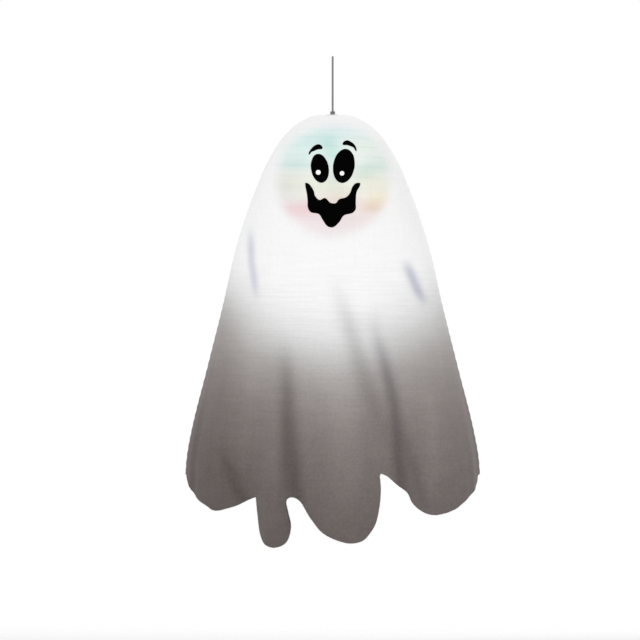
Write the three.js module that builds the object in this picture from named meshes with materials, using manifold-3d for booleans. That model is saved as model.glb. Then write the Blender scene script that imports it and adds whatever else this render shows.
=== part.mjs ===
// A hanging ghost lantern: a lobed cloth cover over a round ribbed lantern, with a battery lamp inside.
// Millimetres. +Z is up, the face looks along -Y, and the origin is the inner top of the hanging loop.

import * as THREE from "three";
import { mergeVertices } from "three/addons/utils/BufferGeometryUtils.js";
import Module from "manifold-3d";

const wasm = await Module();
wasm.setup();

// Clearances
const TOUCH = 0.3; // between two pieces that touch
const TURNING = 0.3; // round a pin or wire that turns in a hole
const JOIN = 1; // how far shapes that are joined into one piece reach into each other
const CUT = 1; // how far a cut reaches past the face it opens

// Hanging cord: one loop, seen edge-on from the front
const CORD_DIAMETER = 4;
const CORD_TOP_RADIUS = 10; // of the loop's bend, at the middle of the cord
const CORD_SPACING = 8.4; // between the two strands below the loop
const CORD_STEPS = 36;
const CORD_PLAY = 0.5; // between the strands and the grommet
const COLLAR_WALL = 1;
const COLLAR_HEIGHT = 6;
const COLLAR_SIDE_ROOM = 1.9; // between the strands and the oval collar, from side to side
const COLLAR_END_ROOM = 0.7; // the same from front to back
const GROMMET_FLANGE = 24; // outer diameter
const GROMMET_FLANGE_THICKNESS = 1;
const GROMMET_WALL = 1;
const GROMMET_CHAMFER = 0.5;

// Cloth cover
const CROWN_DROP = 116; // from the hanging point to the top of the cloth
const CROWN_FLAT_RADIUS = 33; // of the flat part over the lantern's mouth
const COVER_LENGTH = 876; // crown to lowest lobe
const COVER_THICKNESS = 2;
const HEAD_RINGS = [0.406, 0.5625, 0.703, 0.8125]; // rows over the head, as shares of its radius
const SKIRT_ROWS = [-50, -25, 0, 32, 75, 130, 205, 300, 400, 500, 580]; // rows below the middle of the head
const HEM_ROOM = 10; // between the last level row and the highest point of the hem
const HEM_ROWS = 2; // from the last level row to the hem
const COVER_CLEARANCE = 2; // between lantern skin and cloth, with room for the facets of both
const FOLD_DEPTH = 21; // of the main folds at the hem, either way from the mean surface
const FOLD_START = 262; // below the middle of the head
const APPLIQUE_THICKNESS = 0.9;
const APPLIQUE_LIFT = 0.45; // off the cloth, with room for the facets of both

// Round lantern
const LANTERN_RADIUS = 125;
const LANTERN_HALF_HEIGHT = 132; // of the full round, which the two mouths cut off
const SKIN_THICKNESS = 1;
const SKIN_ROWS = 13;
const GORE_COLUMNS = 9;
const GORES = [
  ["lantern_skin_front_left", -1, -1],
  ["lantern_skin_front_right", 1, -1],
  ["lantern_skin_back_right", 1, 1],
  ["lantern_skin_back_left", -1, 1],
];
const MOUTH_RADIUS = 38; // middle of the ring wire
const RING_WIRE = 2.5;
const RIB_TURNS = 14;
const RIB_WIRE = 1.6;
const RIB_CLEARANCE = 1.8; // rib to skin, with room for the facets of both
const RIB_STEPS = 16; // per turn
const RIB_START_RADIUS = 51; // of the first and last turn
const EXPANDER_WIRE = 2.4;
const EXPANDER_HALF_WIDTH = 44;
const EXPANDER_CORNER = 4;
const EXPANDER_FOOT = 10; // length of the foot that rests on the lower ring

// Hub under the crown
const HUB_WIDTH = 12;
const HUB_DEPTH = 17;
const HUB_HEIGHT = 11.5;
const SOCKET_FLOOR = 1.5; // under the cord's ends
const EYE_DIAMETER = 5;
const EYE_RIM = 2; // material round the eye of the hub and of the lamp
const EYE_STEM = 1; // from an eye's edge to the hub or the case
const EYE_LUG_THICKNESS = 3;

// Lamp hook
const HOOK_WIRE = 2;
const HOOK_LENGTH = 61; // between its two bends
const HOOK_PLAY = 0.75; // between the wire's bend and the rim it hangs on, at the middle
const HOOK_BEND = 4; // radius at the middle of the wire
const HOOK_TIP = 5; // straight length of the free ends
const HOOK_CLOSING = 12; // length over which each bend leads back to the middle

// Lamp case
const CASE_WALL = 2;
const CASE_CORNER = 5;
const CASE_FORWARD = 1.6; // how far the joint of the shells lies in front of the hook
const LENS_DIAMETER = 38;
const LENS_RISE = 8;
const LENS_WALL = 1.4;
const LENS_RIM = 2.5; // how far its flange reaches under the front wall
const BOARD_WIDTH = 42;
const BOARD_MARGIN = 9.95; // above and below the board, to the case's outer faces
const BOARD_THICKNESS = 1.6;
const BOARD_POST = 5; // from the front wall to the board
const BOARD_POST_RADIUS = 1.6;
const BOARD_POST_INSET = 3; // from the board's edges to the middle of a post
const BOARD_ROOM = 5.4; // behind the board, for the leads
const LED_DIAMETER = 5;
const LED_LENGTH = 8.6;
const LED_FLANGE = 0.5; // how far its base stands out, and twice as thick
const LED_CIRCLE = 12; // radius that the LEDs stand on
const SCREW_ROOM = 0.5; // from a case screw's head to the wall
const CASE_SCREW = 2.2;
const CASE_SCREW_HEAD = 4.4;
const CASE_SCREW_HEAD_HEIGHT = 1.6;
const CASE_SCREW_LENGTH = 9; // of the hole in the front shell's boss
const CASE_SCREW_SHORT = 2; // by which the screw ends before its hole does
const SCREW_SLOT = 0.7; // width and depth of a slot in a screw's head
const SCREW_HOLE_PLAY = 0.6;
const SCREW_BOSS = 6;

// Battery bay and door
const CELL_DIAMETER = 10.5;
const CELL_LENGTH = 44.5;
const CELL_NUB_DIAMETER = 3.8;
const CELL_NUB = 1.2;
const CELL_EDGE = 0.5; // chamfer at both ends
const CELL_PITCH = 12.3;
const CELL_SIDE_ROOM = 6.45; // beside the cells, for the case screws
const CELL_REAR_ROOM = 1.2; // between the cells and the door
const SPRING_LENGTH = 6.2;
const SPRING_WIRE = 0.7;
const SPRING_DIAMETER = 6;
const SPRING_TURNS = 3;
const SPRING_STEPS = 8; // per turn
const CONTACT_THICKNESS = 0.5;
const CONTACT_WIDTH = 9;
const CONTACT_DEPTH = 8;
const CROSS_WALL = 1.6;
const CROSS_SETBACK = 3; // of the cross wall from the bay's edge
const DOOR_THICKNESS = 2;
const DOOR_GROOVES = 4;
const DOOR_GROOVE_WIDTH = 1.2;
const DOOR_GROOVE_DEPTH = 0.6;
const DOOR_GROOVE_LENGTH = 24;
const DOOR_GROOVE_PITCH = 4;
const DOOR_GROOVE_DROP = 15; // of the lowest groove below the middle of the case
const HINGE_PIN = 1.6;
const HINGE_BARREL = 4.8;
const HINGE_WIDTH = 40;
const HINGE_ROOT = 4; // depth of the wall under the case that carries a knuckle
const DOOR_KNUCKLE = 20;
const DOOR_SCREW = 2.6;
const DOOR_SCREW_HEAD = 6;
const DOOR_SCREW_HEAD_HEIGHT = 1.8;
const DOOR_SCREW_LENGTH = 7;
const DOOR_SCREW_BOSS = 6.6;
const BOSS_SINK = 0.5; // how far the door screw's boss reaches into the case's top wall
const LEAD_DIAMETER = 1.2;
const LEAD_PLAY = 0.6;
const LEAD_INSET = 1; // from the outer cell's side
const LEAD_RISE = 2; // above the cross wall
const LEAD_DROP = 16; // from the hole in the floor down along the board

// Switch on the lamp's underside
const SWITCH_WIDTH = 13;
const SWITCH_DEPTH = 4.5;
const SWITCH_HEIGHT = 5;
const SWITCH_ROOF = 1; // over the knob's foot
const SWITCH_INSET = 2; // from the front wall
const SWITCH_WALL = 0.65; // beside the knob's foot
const SWITCH_TRAVEL = 4;
const KNOB_WIDTH = 3.6;
const KNOB_DEPTH = 2.4;
const KNOB_OUT = 2.4;
const KNOB_GROOVE = 0.4; // width of each of its three grooves
const KNOB_GROOVE_PITCH = 0.9;

// Cloth cover outline. Drops are below the middle of the head; spreads are beyond the round of the head.
const SIDE_SPREAD = [
  [-95, 0],
  [-60, 2.5],
  [-31, 9],
  [0, 19.5],
  [56, 41],
  [138, 67],
  [251, 93],
  [381, 125.5],
  [511, 158],
  [576, 168.5],
  [800, 168.5],
];
const DEPTH_SPREAD = [
  [0, 0],
  [200, 5],
  [400, 16],
  [600, 24],
  [800, 24],
];

// Folds across the panel, from the left seam (-1) to the right seam (1): 1 is a full ridge, -1 a full valley.
const FOLDS = [
  [-1, 0],
  [-0.8, 0.75],
  [-0.54, -0.8],
  [-0.41, 0.95],
  [-0.27, -0.85],
  [0.04, 1],
  [0.31, -0.9],
  [0.69, 0.85],
  [1, 0],
];

// Hem, lobe by lobe: [share of the way from the middle to a seam, rise above the lowest lobe], and its steps.
const HEM_LOBES = [
  {
    steps: 6,
    points: [[-1, 149], [-0.942, 108], [-0.8, 75], [-0.66, 83], [-0.535, 102]],
  },
  {
    steps: 6,
    points: [[-0.522, 97], [-0.49, 26], [-0.383, 0], [-0.302, 22], [-0.29, 90]],
  },
  {
    steps: 8,
    points: [[-0.272, 102], [-0.222, 95], [-0.07, 36], [0.134, 8], [0.286, 42], [0.325, 140]],
  },
  {
    steps: 7,
    points: [[0.336, 150], [0.44, 130], [0.545, 91], [0.686, 66], [0.86, 82], [1, 149]],
  },
];

// Face, in plan: [across, below the hanging point]
const FACE = {
  left_eye: { middle: [-25.2, 224.4], half: [17.5, 29.2], lean: 9 },
  right_eye: { middle: [23.3, 218.9], half: [21.1, 34.7], lean: -9 },
  left_glint: { middle: [-28, 231.7], half: [5.5, 5.5], lean: 0 },
  right_glint: { middle: [18.1, 234.6], half: [5.5, 5.5], lean: 0 },
};
const BROW_WIDTH = 8;
const BROWS = {
  left_brow: [[-46.7, 194.6], [-41, 182.5], [-29.8, 175.5], [-20.3, 180.2]],
  right_brow: [[20.9, 172.9], [29.8, 168], [40, 174], [47.7, 187.3]],
};
const MOUTH_TOP = [
  [-54.5, 253.6], [-47.5, 255.7], [-38, 269.3], [-34.8, 280.2], [-25.8, 288.3],
  [-14.9, 284.3], [-4, 293.8], [6.8, 294.6], [13.6, 287], [27.2, 282.9], [35.4, 274.8],
  [40.8, 261.2], [47.6, 254.4], [56, 254],
];
const MOUTH_BOTTOM = [
  [-54.5, 258.4], [-50.3, 282.9], [-48.9, 304.7], [-43.5, 312.8], [-27.2, 316.9],
  [-19, 329.1], [-9.5, 341.4], [1.4, 343.3], [13.6, 333.2], [23.1, 319.6], [40.8, 314.2],
  [46.6, 307.4], [47.2, 288.3], [49, 272], [56, 258],
];

// Heights worked out from the sizes above
const coverRadius = LANTERN_RADIUS + COVER_CLEARANCE + COVER_THICKNESS;
const coverHalfHeight = LANTERN_HALF_HEIGHT + COVER_CLEARANCE + COVER_THICKNESS;
const crownZ = -CROWN_DROP;
const headZ = crownZ - coverHalfHeight * Math.sqrt(1 - (CROWN_FLAT_RADIUS / coverRadius) ** 2);
const hemZ = crownZ - COVER_LENGTH;
const ringDrop = LANTERN_HALF_HEIGHT * Math.sqrt(1 - (MOUTH_RADIUS / LANTERN_RADIUS) ** 2);
const ringInset = RING_WIRE / 2 + SKIN_THICKNESS + 2 * TOUCH;
const upperRingZ = headZ + ringDrop - ringInset;
const lowerRingZ = headZ - ringDrop + ringInset;
const barZ = upperRingZ - RING_WIRE / 2 - TOUCH - EXPANDER_WIRE / 2;
const footZ = lowerRingZ + RING_WIRE / 2 + TOUCH + EXPANDER_WIRE / 2;
const grommetHole = (CORD_SPACING + CORD_DIAMETER) / 2 + CORD_PLAY;
const grommetBarrel = grommetHole + GROMMET_WALL;
const flangeTopZ = crownZ + TOUCH + GROMMET_FLANGE_THICKNESS;
const collarZ = flangeTopZ + TOUCH;
const washerTopZ = crownZ - COVER_THICKNESS - TOUCH;
const hubTopZ = washerTopZ - GROMMET_FLANGE_THICKNESS - TOUCH;
const hubBottomZ = hubTopZ - HUB_HEIGHT;
const cordEndZ = hubBottomZ + SOCKET_FLOOR + TOUCH;
const hubEyeZ = hubBottomZ - EYE_DIAMETER / 2 - EYE_STEM;
const eyeLugWidth = EYE_DIAMETER + 2 * EYE_RIM;
const hookPivotZ = hubEyeZ - EYE_DIAMETER / 2 + HOOK_WIRE / 2 + HOOK_PLAY;
const lampPivotZ = hookPivotZ - HOOK_LENGTH;

const root = new THREE.Group();
const lamp = new THREE.Group();
lamp.position.set(0, 0, lampPivotZ);
root.add(lamp);

// Materials
function finish(color, roughness, metalness = 0) {
  return new THREE.MeshStandardMaterial({ color, roughness, metalness });
}
const coverCloth = finish(0xf4f4f4, 0.9);
const faceBlack = finish(0x050505, 0.85);
const glintWhite = finish(0xfafafa, 0.85);
const cordGrey = finish(0x878787, 0.8);
const darkPlastic = finish(0x2b2b2e, 0.5);
const skinWhite = finish(0xf2f2ee, 0.8);
const steelWire = finish(0xb4b6b8, 0.35, 1);
const whitePlastic = finish(0xececea, 0.45);
const frostedLens = finish(0xf3f6f6, 0.35);
const boardGreen = finish(0x2f6b45, 0.5);
const nickel = finish(0xc9c6bd, 0.3, 1);
const cellSleeve = finish(0x3b5f8a, 0.35);

function addPart(name, geometry, material, parent = root) {
  const mesh = new THREE.Mesh(geometry, material);
  mesh.name = name;
  parent.add(mesh);
  return mesh;
}

// Solids: closed geometry to a solid for cutting and joining, and back
function toSolid(geometry) {
  const bare = new THREE.BufferGeometry();
  bare.setAttribute("position", geometry.getAttribute("position"));
  if (geometry.index) bare.setIndex(geometry.index);
  const merged = mergeVertices(bare, 1e-4);
  return new wasm.Manifold(
    new wasm.Mesh({
      numProp: 3,
      vertProperties: new Float32Array(merged.attributes.position.array),
      triVerts: new Uint32Array(merged.index.array),
    }),
  );
}

function toGeometry(solid) {
  const mesh = solid.getMesh();
  const geometry = new THREE.BufferGeometry();
  geometry.setAttribute("position", new THREE.BufferAttribute(mesh.vertProperties, 3));
  geometry.setIndex(new THREE.BufferAttribute(mesh.triVerts, 1));
  geometry.computeVertexNormals();
  return geometry;
}

function build(base, added = [], removed = []) {
  let solid = toSolid(base);
  for (const piece of added) solid = solid.add(toSolid(piece));
  for (const piece of removed) solid = solid.subtract(toSolid(piece));
  return toGeometry(solid);
}

// Simple shapes
function bothWays(width) {
  return [-width / 2, width / 2];
}

function block([x0, x1], [y0, y1], [z0, z1]) {
  const box = new THREE.BoxGeometry(x1 - x0, y1 - y0, z1 - z0);
  return box.translate((x0 + x1) / 2, (y0 + y1) / 2, (z0 + z1) / 2);
}

function cylinderZ(radius, z0, z1, x = 0, y = 0, sides = 20) {
  const cylinder = new THREE.CylinderGeometry(radius, radius, z1 - z0, sides).rotateX(Math.PI / 2);
  return cylinder.translate(x, y, (z0 + z1) / 2);
}

function cylinderY(radius, y0, y1, x, z, sides = 20) {
  return new THREE.CylinderGeometry(radius, radius, y1 - y0, sides).translate(x, (y0 + y1) / 2, z);
}

function cylinderX(radius, x0, x1, y, z, sides = 16) {
  const cylinder = new THREE.CylinderGeometry(radius, radius, x1 - x0, sides).rotateZ(Math.PI / 2);
  return cylinder.translate((x0 + x1) / 2, y, z);
}

// A plate standing in the XZ plane with round corners, from y0 to y1
function roundPlate(halfWidth, z0, z1, radius, y0, y1) {
  const shape = new THREE.Shape();
  shape.moveTo(-halfWidth + radius, z0);
  shape.absarc(halfWidth - radius, z0 + radius, radius, -Math.PI / 2, 0);
  shape.absarc(halfWidth - radius, z1 - radius, radius, 0, Math.PI / 2);
  shape.absarc(-halfWidth + radius, z1 - radius, radius, Math.PI / 2, Math.PI);
  shape.absarc(-halfWidth + radius, z0 + radius, radius, Math.PI, 1.5 * Math.PI);
  const plate = new THREE.ExtrudeGeometry(shape, { depth: y1 - y0, bevelEnabled: false, curveSegments: 2 });
  return plate.rotateX(Math.PI / 2).translate(0, y1, 0);
}

// A round solid of the closed profile [radius, height], about Z
function turned(profile, sides) {
  const points = profile.map(([r, z]) => new THREE.Vector2(r, z));
  return new THREE.LatheGeometry(points, sides).rotateX(Math.PI / 2);
}

// The line through a list of points, as a curve whose even steps fall on the points themselves
class Route extends THREE.Curve {
  constructor(points) {
    super();
    this.points = points;
  }

  getPoint(t, target = new THREE.Vector3()) {
    const place = t * (this.points.length - 1);
    const i = Math.min(Math.floor(place), this.points.length - 2);
    return target.lerpVectors(this.points[i], this.points[i + 1], place - i);
  }

  getUtoTmapping(share) {
    return share;
  }
}

// A round wire or cord through points
function wire(points, diameter, sides) {
  const section = new THREE.Shape(
    Array.from({ length: sides }, (_, k) => {
      const turn = (2 * Math.PI * k) / sides;
      return new THREE.Vector2((diameter / 2) * Math.cos(turn), (diameter / 2) * Math.sin(turn));
    }),
  );
  return new THREE.ExtrudeGeometry(section, { steps: points.length - 1, extrudePath: new Route(points) });
}

// Points of a smooth curve through chosen points
function smoothRoute(points, steps) {
  const curve = new THREE.CatmullRomCurve3(points.map((p) => new THREE.Vector3(...p)), false, "centripetal");
  return curve.getSpacedPoints(steps);
}

// Half a circle from the right over the top to the left: [sideways, up from its middle]
function arc(radius, steps) {
  return Array.from({ length: steps + 1 }, (_, i) => {
    const turn = (Math.PI * i) / steps;
    return [radius * Math.cos(turn), radius * Math.sin(turn)];
  });
}

// Points of a wire of straight runs joined by bends of one radius
function bentRoute(points, radius) {
  const corners = points.map((p) => new THREE.Vector3(...p));
  const route = [corners[0]];
  for (let i = 1; i < corners.length - 1; i++) {
    const before = corners[i].clone().add(corners[i - 1].clone().sub(corners[i]).setLength(radius));
    const after = corners[i].clone().add(corners[i + 1].clone().sub(corners[i]).setLength(radius));
    route.push(...new THREE.QuadraticBezierCurve3(before, corners[i], after).getPoints(4));
  }
  return [...route, corners[corners.length - 1]];
}

// Points of a coil round a vertical line, at a radius and height given for each part of the way
function coilRoute(x, y, turns, stepsPerTurn, radiusAndHeight) {
  const steps = turns * stepsPerTurn;
  return Array.from({ length: steps + 1 }, (_, i) => {
    const turn = (2 * Math.PI * i) / stepsPerTurn;
    const [radius, z] = radiusAndHeight(i / steps);
    return new THREE.Vector3(x + radius * Math.cos(turn), y + radius * Math.sin(turn), z);
  });
}

// Least gap between the turns of a coiled wire, measured on its points half a turn or more apart
function leastGap(points, diameter, stepsPerTurn) {
  let least = Infinity;
  for (let i = 0; i < points.length; i++) {
    for (let j = i + Math.ceil(stepsPerTurn / 2); j < points.length; j++) {
      least = Math.min(least, points[i].distanceTo(points[j]) - diameter);
    }
  }
  return least;
}

function coil(name, points, diameter, stepsPerTurn) {
  console.log(name, "least gap to itself", leastGap(points, diameter, stepsPerTurn).toFixed(2), "mm");
  return wire(points, diameter, 5);
}

// Values between stations, as a smooth curve
function between(stations) {
  const places = stations.map(([place]) => place);
  const values = stations.map(([, value]) => value);
  const curve = new THREE.CubicInterpolant(places, values, 1);
  return (place) => curve.evaluate(THREE.MathUtils.clamp(place, places[0], places[places.length - 1]))[0];
}

const sideSpread = between(SIDE_SPREAD);
const depthSpread = between(DEPTH_SPREAD);
const foldAcross = between(FOLDS);

// Half width and half depth of the cloth at height z
function coverSection(z) {
  const up = Math.max(0, z - headZ) / coverHalfHeight;
  const round = coverRadius * Math.sqrt(Math.max(0, 1 - up * up));
  return { halfWidth: round + sideSpread(headZ - z), halfDepth: round + depthSpread(headZ - z) };
}

function foldAt(across, z) {
  const growth = THREE.MathUtils.smoothstep(headZ - z, FOLD_START, headZ - hemZ);
  return FOLD_DEPTH * growth * foldAcross(across);
}

// A point of the cloth's outer face. Across runs from -1 at the left seam to 1 at the right.
// Side is -1 for the front panel and 1 for the back panel.
function coverPoint(across, z, side) {
  const { halfWidth, halfDepth } = coverSection(z);
  const out = halfDepth * Math.sqrt(Math.max(0, 1 - across * across)) + foldAt(across, z) + TOUCH / 2;
  return new THREE.Vector3(halfWidth * across, side * out, z);
}

function coverNormal(across, z, side) {
  const nearSeam = Math.min(Math.abs(across), 0.995) * Math.sign(across);
  const step = 0.002;
  const along = coverPoint(nearSeam + step, z, side).sub(coverPoint(nearSeam - step, z, side));
  const down = coverPoint(nearSeam, z + 0.5, side).sub(coverPoint(nearSeam, z - 0.5, side));
  const normal = down.cross(along).multiplyScalar(side);
  if (Math.abs(across) > 0.999) normal.y = 0;
  return normal.normalize();
}

// A closed shell from an outer and an inner grid of points, both [row][column]
function shellGeometry(outer, inner) {
  const rows = outer.length;
  const columns = outer[0].length;
  const positions = [...outer.flat(), ...inner.flat()].flatMap((p) => [p.x, p.y, p.z]);
  const faces = [];
  const at = (layer, row, column) => (layer * rows + row) * columns + column;
  const quad = (a, b, c, d) => faces.push(a, b, c, a, c, d);
  for (let r = 0; r + 1 < rows; r++) {
    for (let c = 0; c + 1 < columns; c++) {
      quad(at(0, r, c), at(0, r + 1, c), at(0, r + 1, c + 1), at(0, r, c + 1));
      quad(at(1, r, c), at(1, r, c + 1), at(1, r + 1, c + 1), at(1, r + 1, c));
    }
    quad(at(0, r, 0), at(1, r, 0), at(1, r + 1, 0), at(0, r + 1, 0));
    quad(at(0, r + 1, columns - 1), at(1, r + 1, columns - 1), at(1, r, columns - 1), at(0, r, columns - 1));
  }
  for (let c = 0; c + 1 < columns; c++) {
    quad(at(0, 0, c + 1), at(1, 0, c + 1), at(1, 0, c), at(0, 0, c));
    quad(at(0, rows - 1, c), at(1, rows - 1, c), at(1, rows - 1, c + 1), at(0, rows - 1, c + 1));
  }
  const geometry = new THREE.BufferGeometry();
  geometry.setAttribute("position", new THREE.Float32BufferAttribute(positions, 3));
  geometry.setIndex(faces);
  return geometry;
}

// The same shell seen from the other side
function turnFaces(geometry) {
  const index = geometry.index.array;
  for (let i = 0; i < index.length; i += 3) [index[i + 1], index[i + 2]] = [index[i + 2], index[i + 1]];
  return geometry;
}

// The hem as [across, height] from seam to seam
function hemLine() {
  const line = [];
  for (const { steps, points } of HEM_LOBES) {
    const curve = new THREE.SplineCurve(points.map(([across, rise]) => new THREE.Vector2(across, rise)));
    for (const p of curve.getPoints(steps)) line.push([p.x, hemZ + p.y]);
  }
  return line;
}

// One panel of the cover: rows across the crown, round the head and down the skirt to the hem
function coverPanel(side) {
  const hem = hemLine();
  const crownRadii = [grommetBarrel + TOUCH, CROWN_FLAT_RADIUS];
  const headRadii = HEAD_RINGS.map((share) => share * coverRadius);
  const highestHem = Math.max(...hem.map(([, z]) => z));
  const outer = [];
  const inner = [];
  const addRow = (pointAt, normalAt) => {
    const row = hem.map(([across], i) => pointAt(across, i));
    outer.push(row);
    inner.push(row.map((p, i) => p.clone().addScaledVector(normalAt(hem[i][0], p), -COVER_THICKNESS)));
  };
  const level = new THREE.Vector3(0, 0, 1);
  for (const radius of crownRadii) {
    const depthAt = (across) => radius * Math.sqrt(1 - across * across) + TOUCH / 2;
    addRow(
      (across) => new THREE.Vector3(radius * across, side * depthAt(across), crownZ),
      () => level,
    );
  }
  const normalAt = (across, p) => coverNormal(across, p.z, side);
  for (const radius of headRadii) {
    const z = headZ + coverHalfHeight * Math.sqrt(1 - (radius / coverRadius) ** 2);
    addRow((across) => coverPoint(across, z, side), normalAt);
  }
  for (const drop of SKIRT_ROWS) {
    const z = Math.max(headZ - drop, highestHem + HEM_ROOM);
    addRow((across) => coverPoint(across, z, side), normalAt);
  }
  const lastLevel = outer[outer.length - 1][0].z;
  for (let k = 1; k <= HEM_ROWS; k++) {
    const heightAt = (i) => THREE.MathUtils.lerp(lastLevel, hem[i][1], k / HEM_ROWS);
    addRow((across, i) => coverPoint(across, heightAt(i), side), normalAt);
  }
  const geometry = shellGeometry(outer, inner);
  return side < 0 ? geometry : turnFaces(geometry);
}

// A thin cloth piece on the front: each column is its lower and its upper point in plan, [across, drop]
function patch(columns, rows, lift) {
  const layer = (height) => {
    const grid = [];
    for (let r = 0; r <= rows; r++) {
      grid.push(
        columns.map(([low, high]) => {
          const x = THREE.MathUtils.lerp(high[0], low[0], r / rows);
          const z = -THREE.MathUtils.lerp(high[1], low[1], r / rows);
          const across = x / coverSection(z).halfWidth;
          return coverPoint(across, z, -1).addScaledVector(coverNormal(across, z, -1), height);
        }),
      );
    }
    return grid;
  };
  return shellGeometry(layer(lift + APPLIQUE_THICKNESS), layer(lift));
}

function ovalPatch({ middle, half, lean }, steps, rows, lift) {
  const angle = THREE.MathUtils.degToRad(lean);
  const tip = 0.14; // angle left out at both ends, so that the patch ends in a short edge
  const columns = [];
  for (let i = 0; i <= steps; i++) {
    const turn = THREE.MathUtils.lerp(tip, Math.PI - tip, i / steps);
    const edge = (sign) => {
      const u = -half[0] * Math.cos(turn);
      const v = sign * half[1] * Math.sin(turn);
      return [
        middle[0] + u * Math.cos(angle) + v * Math.sin(angle),
        middle[1] - u * Math.sin(angle) + v * Math.cos(angle),
      ];
    };
    columns.push([edge(1), edge(-1)]);
  }
  return patch(columns, rows, lift);
}

function browPatch(points, lift) {
  const curve = new THREE.SplineCurve(points.map(([x, drop]) => new THREE.Vector2(x, drop)));
  const steps = 12;
  const tip = 0.12; // share of the width that is left at both ends
  const columns = [];
  for (let i = 0; i <= steps; i++) {
    const p = curve.getPoint(i / steps);
    const t = curve.getTangent(i / steps);
    const half = (BROW_WIDTH / 2) * Math.max(tip, Math.sin((Math.PI * i) / steps) ** 0.7);
    columns.push([
      [p.x - t.y * half, p.y + t.x * half],
      [p.x + t.y * half, p.y - t.x * half],
    ]);
  }
  return patch(columns, 2, lift);
}

function mouthPatch(lift) {
  const heightOn = (edge, x) => {
    const k = Math.max(1, edge.findIndex(([place]) => place >= x));
    const [x0, d0] = edge[k - 1];
    const [x1, d1] = edge[k];
    return THREE.MathUtils.lerp(d0, d1, (x - x0) / (x1 - x0));
  };
  const places = [...new Set([...MOUTH_TOP, ...MOUTH_BOTTOM].map(([x]) => x))].sort((p, q) => p - q);
  const ends = [Math.max(MOUTH_TOP[0][0], MOUTH_BOTTOM[0][0]), MOUTH_TOP[MOUTH_TOP.length - 1][0]];
  const columns = places
    .filter((x) => x >= ends[0] && x <= ends[1])
    .map((x) => [
      [x, heightOn(MOUTH_BOTTOM, x)],
      [x, heightOn(MOUTH_TOP, x)],
    ]);
  return patch(columns, 3, lift);
}

function makeCover() {
  addPart("ghost_front_panel", coverPanel(-1), coverCloth);
  addPart("ghost_back_panel", coverPanel(1), coverCloth);
  const glintLift = APPLIQUE_LIFT + APPLIQUE_THICKNESS + TOUCH;
  addPart("left_eye", ovalPatch(FACE.left_eye, 12, 5, APPLIQUE_LIFT), faceBlack);
  addPart("right_eye", ovalPatch(FACE.right_eye, 12, 5, APPLIQUE_LIFT), faceBlack);
  addPart("left_glint", ovalPatch(FACE.left_glint, 10, 2, glintLift), glintWhite);
  addPart("right_glint", ovalPatch(FACE.right_glint, 10, 2, glintLift), glintWhite);
  addPart("left_brow", browPatch(BROWS.left_brow, APPLIQUE_LIFT), faceBlack);
  addPart("right_brow", browPatch(BROWS.right_brow, APPLIQUE_LIFT), faceBlack);
  addPart("mouth", mouthPatch(APPLIQUE_LIFT), faceBlack);
}

// The cord's route, from one end in the hub over the top of the loop to the other end
function cordRoute() {
  const half = CORD_SPACING / 2;
  const middleZ = CORD_DIAMETER / 2 - CORD_TOP_RADIUS;
  const collarTop = collarZ + COLLAR_HEIGHT;
  const rising = [
    [half, cordEndZ],
    [half, (cordEndZ + collarTop) / 2],
  ];
  const steps = 6;
  for (let k = 0; k < steps; k++) {
    const y = THREE.MathUtils.lerp(half, CORD_TOP_RADIUS, THREE.MathUtils.smoothstep(k / steps, 0, 1));
    rising.push([y, THREE.MathUtils.lerp(collarTop, middleZ, k / steps)]);
  }
  const bend = arc(CORD_TOP_RADIUS, 6).map(([y, up]) => [y, middleZ + up]);
  const falling = rising.map(([y, z]) => [-y, z]).reverse();
  return smoothRoute([...rising, ...bend, ...falling].map(([y, z]) => [0, y, z]), CORD_STEPS);
}

// An oval tube standing on Z: half sizes in x and y, and the wall
function ovalSleeve(halfX, halfY, wall, z0, z1) {
  const outline = (x, y, path) => path.absellipse(0, 0, x, y, 0, 2 * Math.PI);
  const shape = new THREE.Shape();
  outline(halfX, halfY, shape);
  const hole = new THREE.Path();
  outline(halfX - wall, halfY - wall, hole);
  shape.holes.push(hole);
  const sleeve = new THREE.ExtrudeGeometry(shape, { depth: z1 - z0, bevelEnabled: false, curveSegments: 12 });
  return sleeve.translate(0, 0, z0);
}

function makeHanger() {
  addPart("hanging_cord", wire(cordRoute(), CORD_DIAMETER, 8), cordGrey);
  const collarHalfX = CORD_DIAMETER / 2 + COLLAR_SIDE_ROOM + COLLAR_WALL;
  const collarHalfY = (CORD_SPACING + CORD_DIAMETER) / 2 + COLLAR_END_ROOM + COLLAR_WALL;
  const collar = ovalSleeve(collarHalfX, collarHalfY, COLLAR_WALL, collarZ, collarZ + COLLAR_HEIGHT);
  addPart("cord_collar", collar, darkPlastic);

  const flange = GROMMET_FLANGE / 2;
  const underside = washerTopZ - GROMMET_FLANGE_THICKNESS;
  const grommet = [
    [grommetHole, underside],
    [grommetBarrel, underside],
    [grommetBarrel, crownZ + TOUCH],
    [flange, crownZ + TOUCH],
    [flange - GROMMET_CHAMFER, flangeTopZ],
    [grommetHole, flangeTopZ],
    [grommetHole, underside],
  ];
  addPart("crown_grommet", turned(grommet, 24), darkPlastic);
  const washer = [
    [grommetBarrel + TOUCH, underside],
    [flange, underside],
    [flange, washerTopZ],
    [grommetBarrel + TOUCH, washerTopZ],
    [grommetBarrel + TOUCH, underside],
  ];
  addPart("crown_washer", turned(washer, 24), steelWire);
  makeHub();
}

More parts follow.
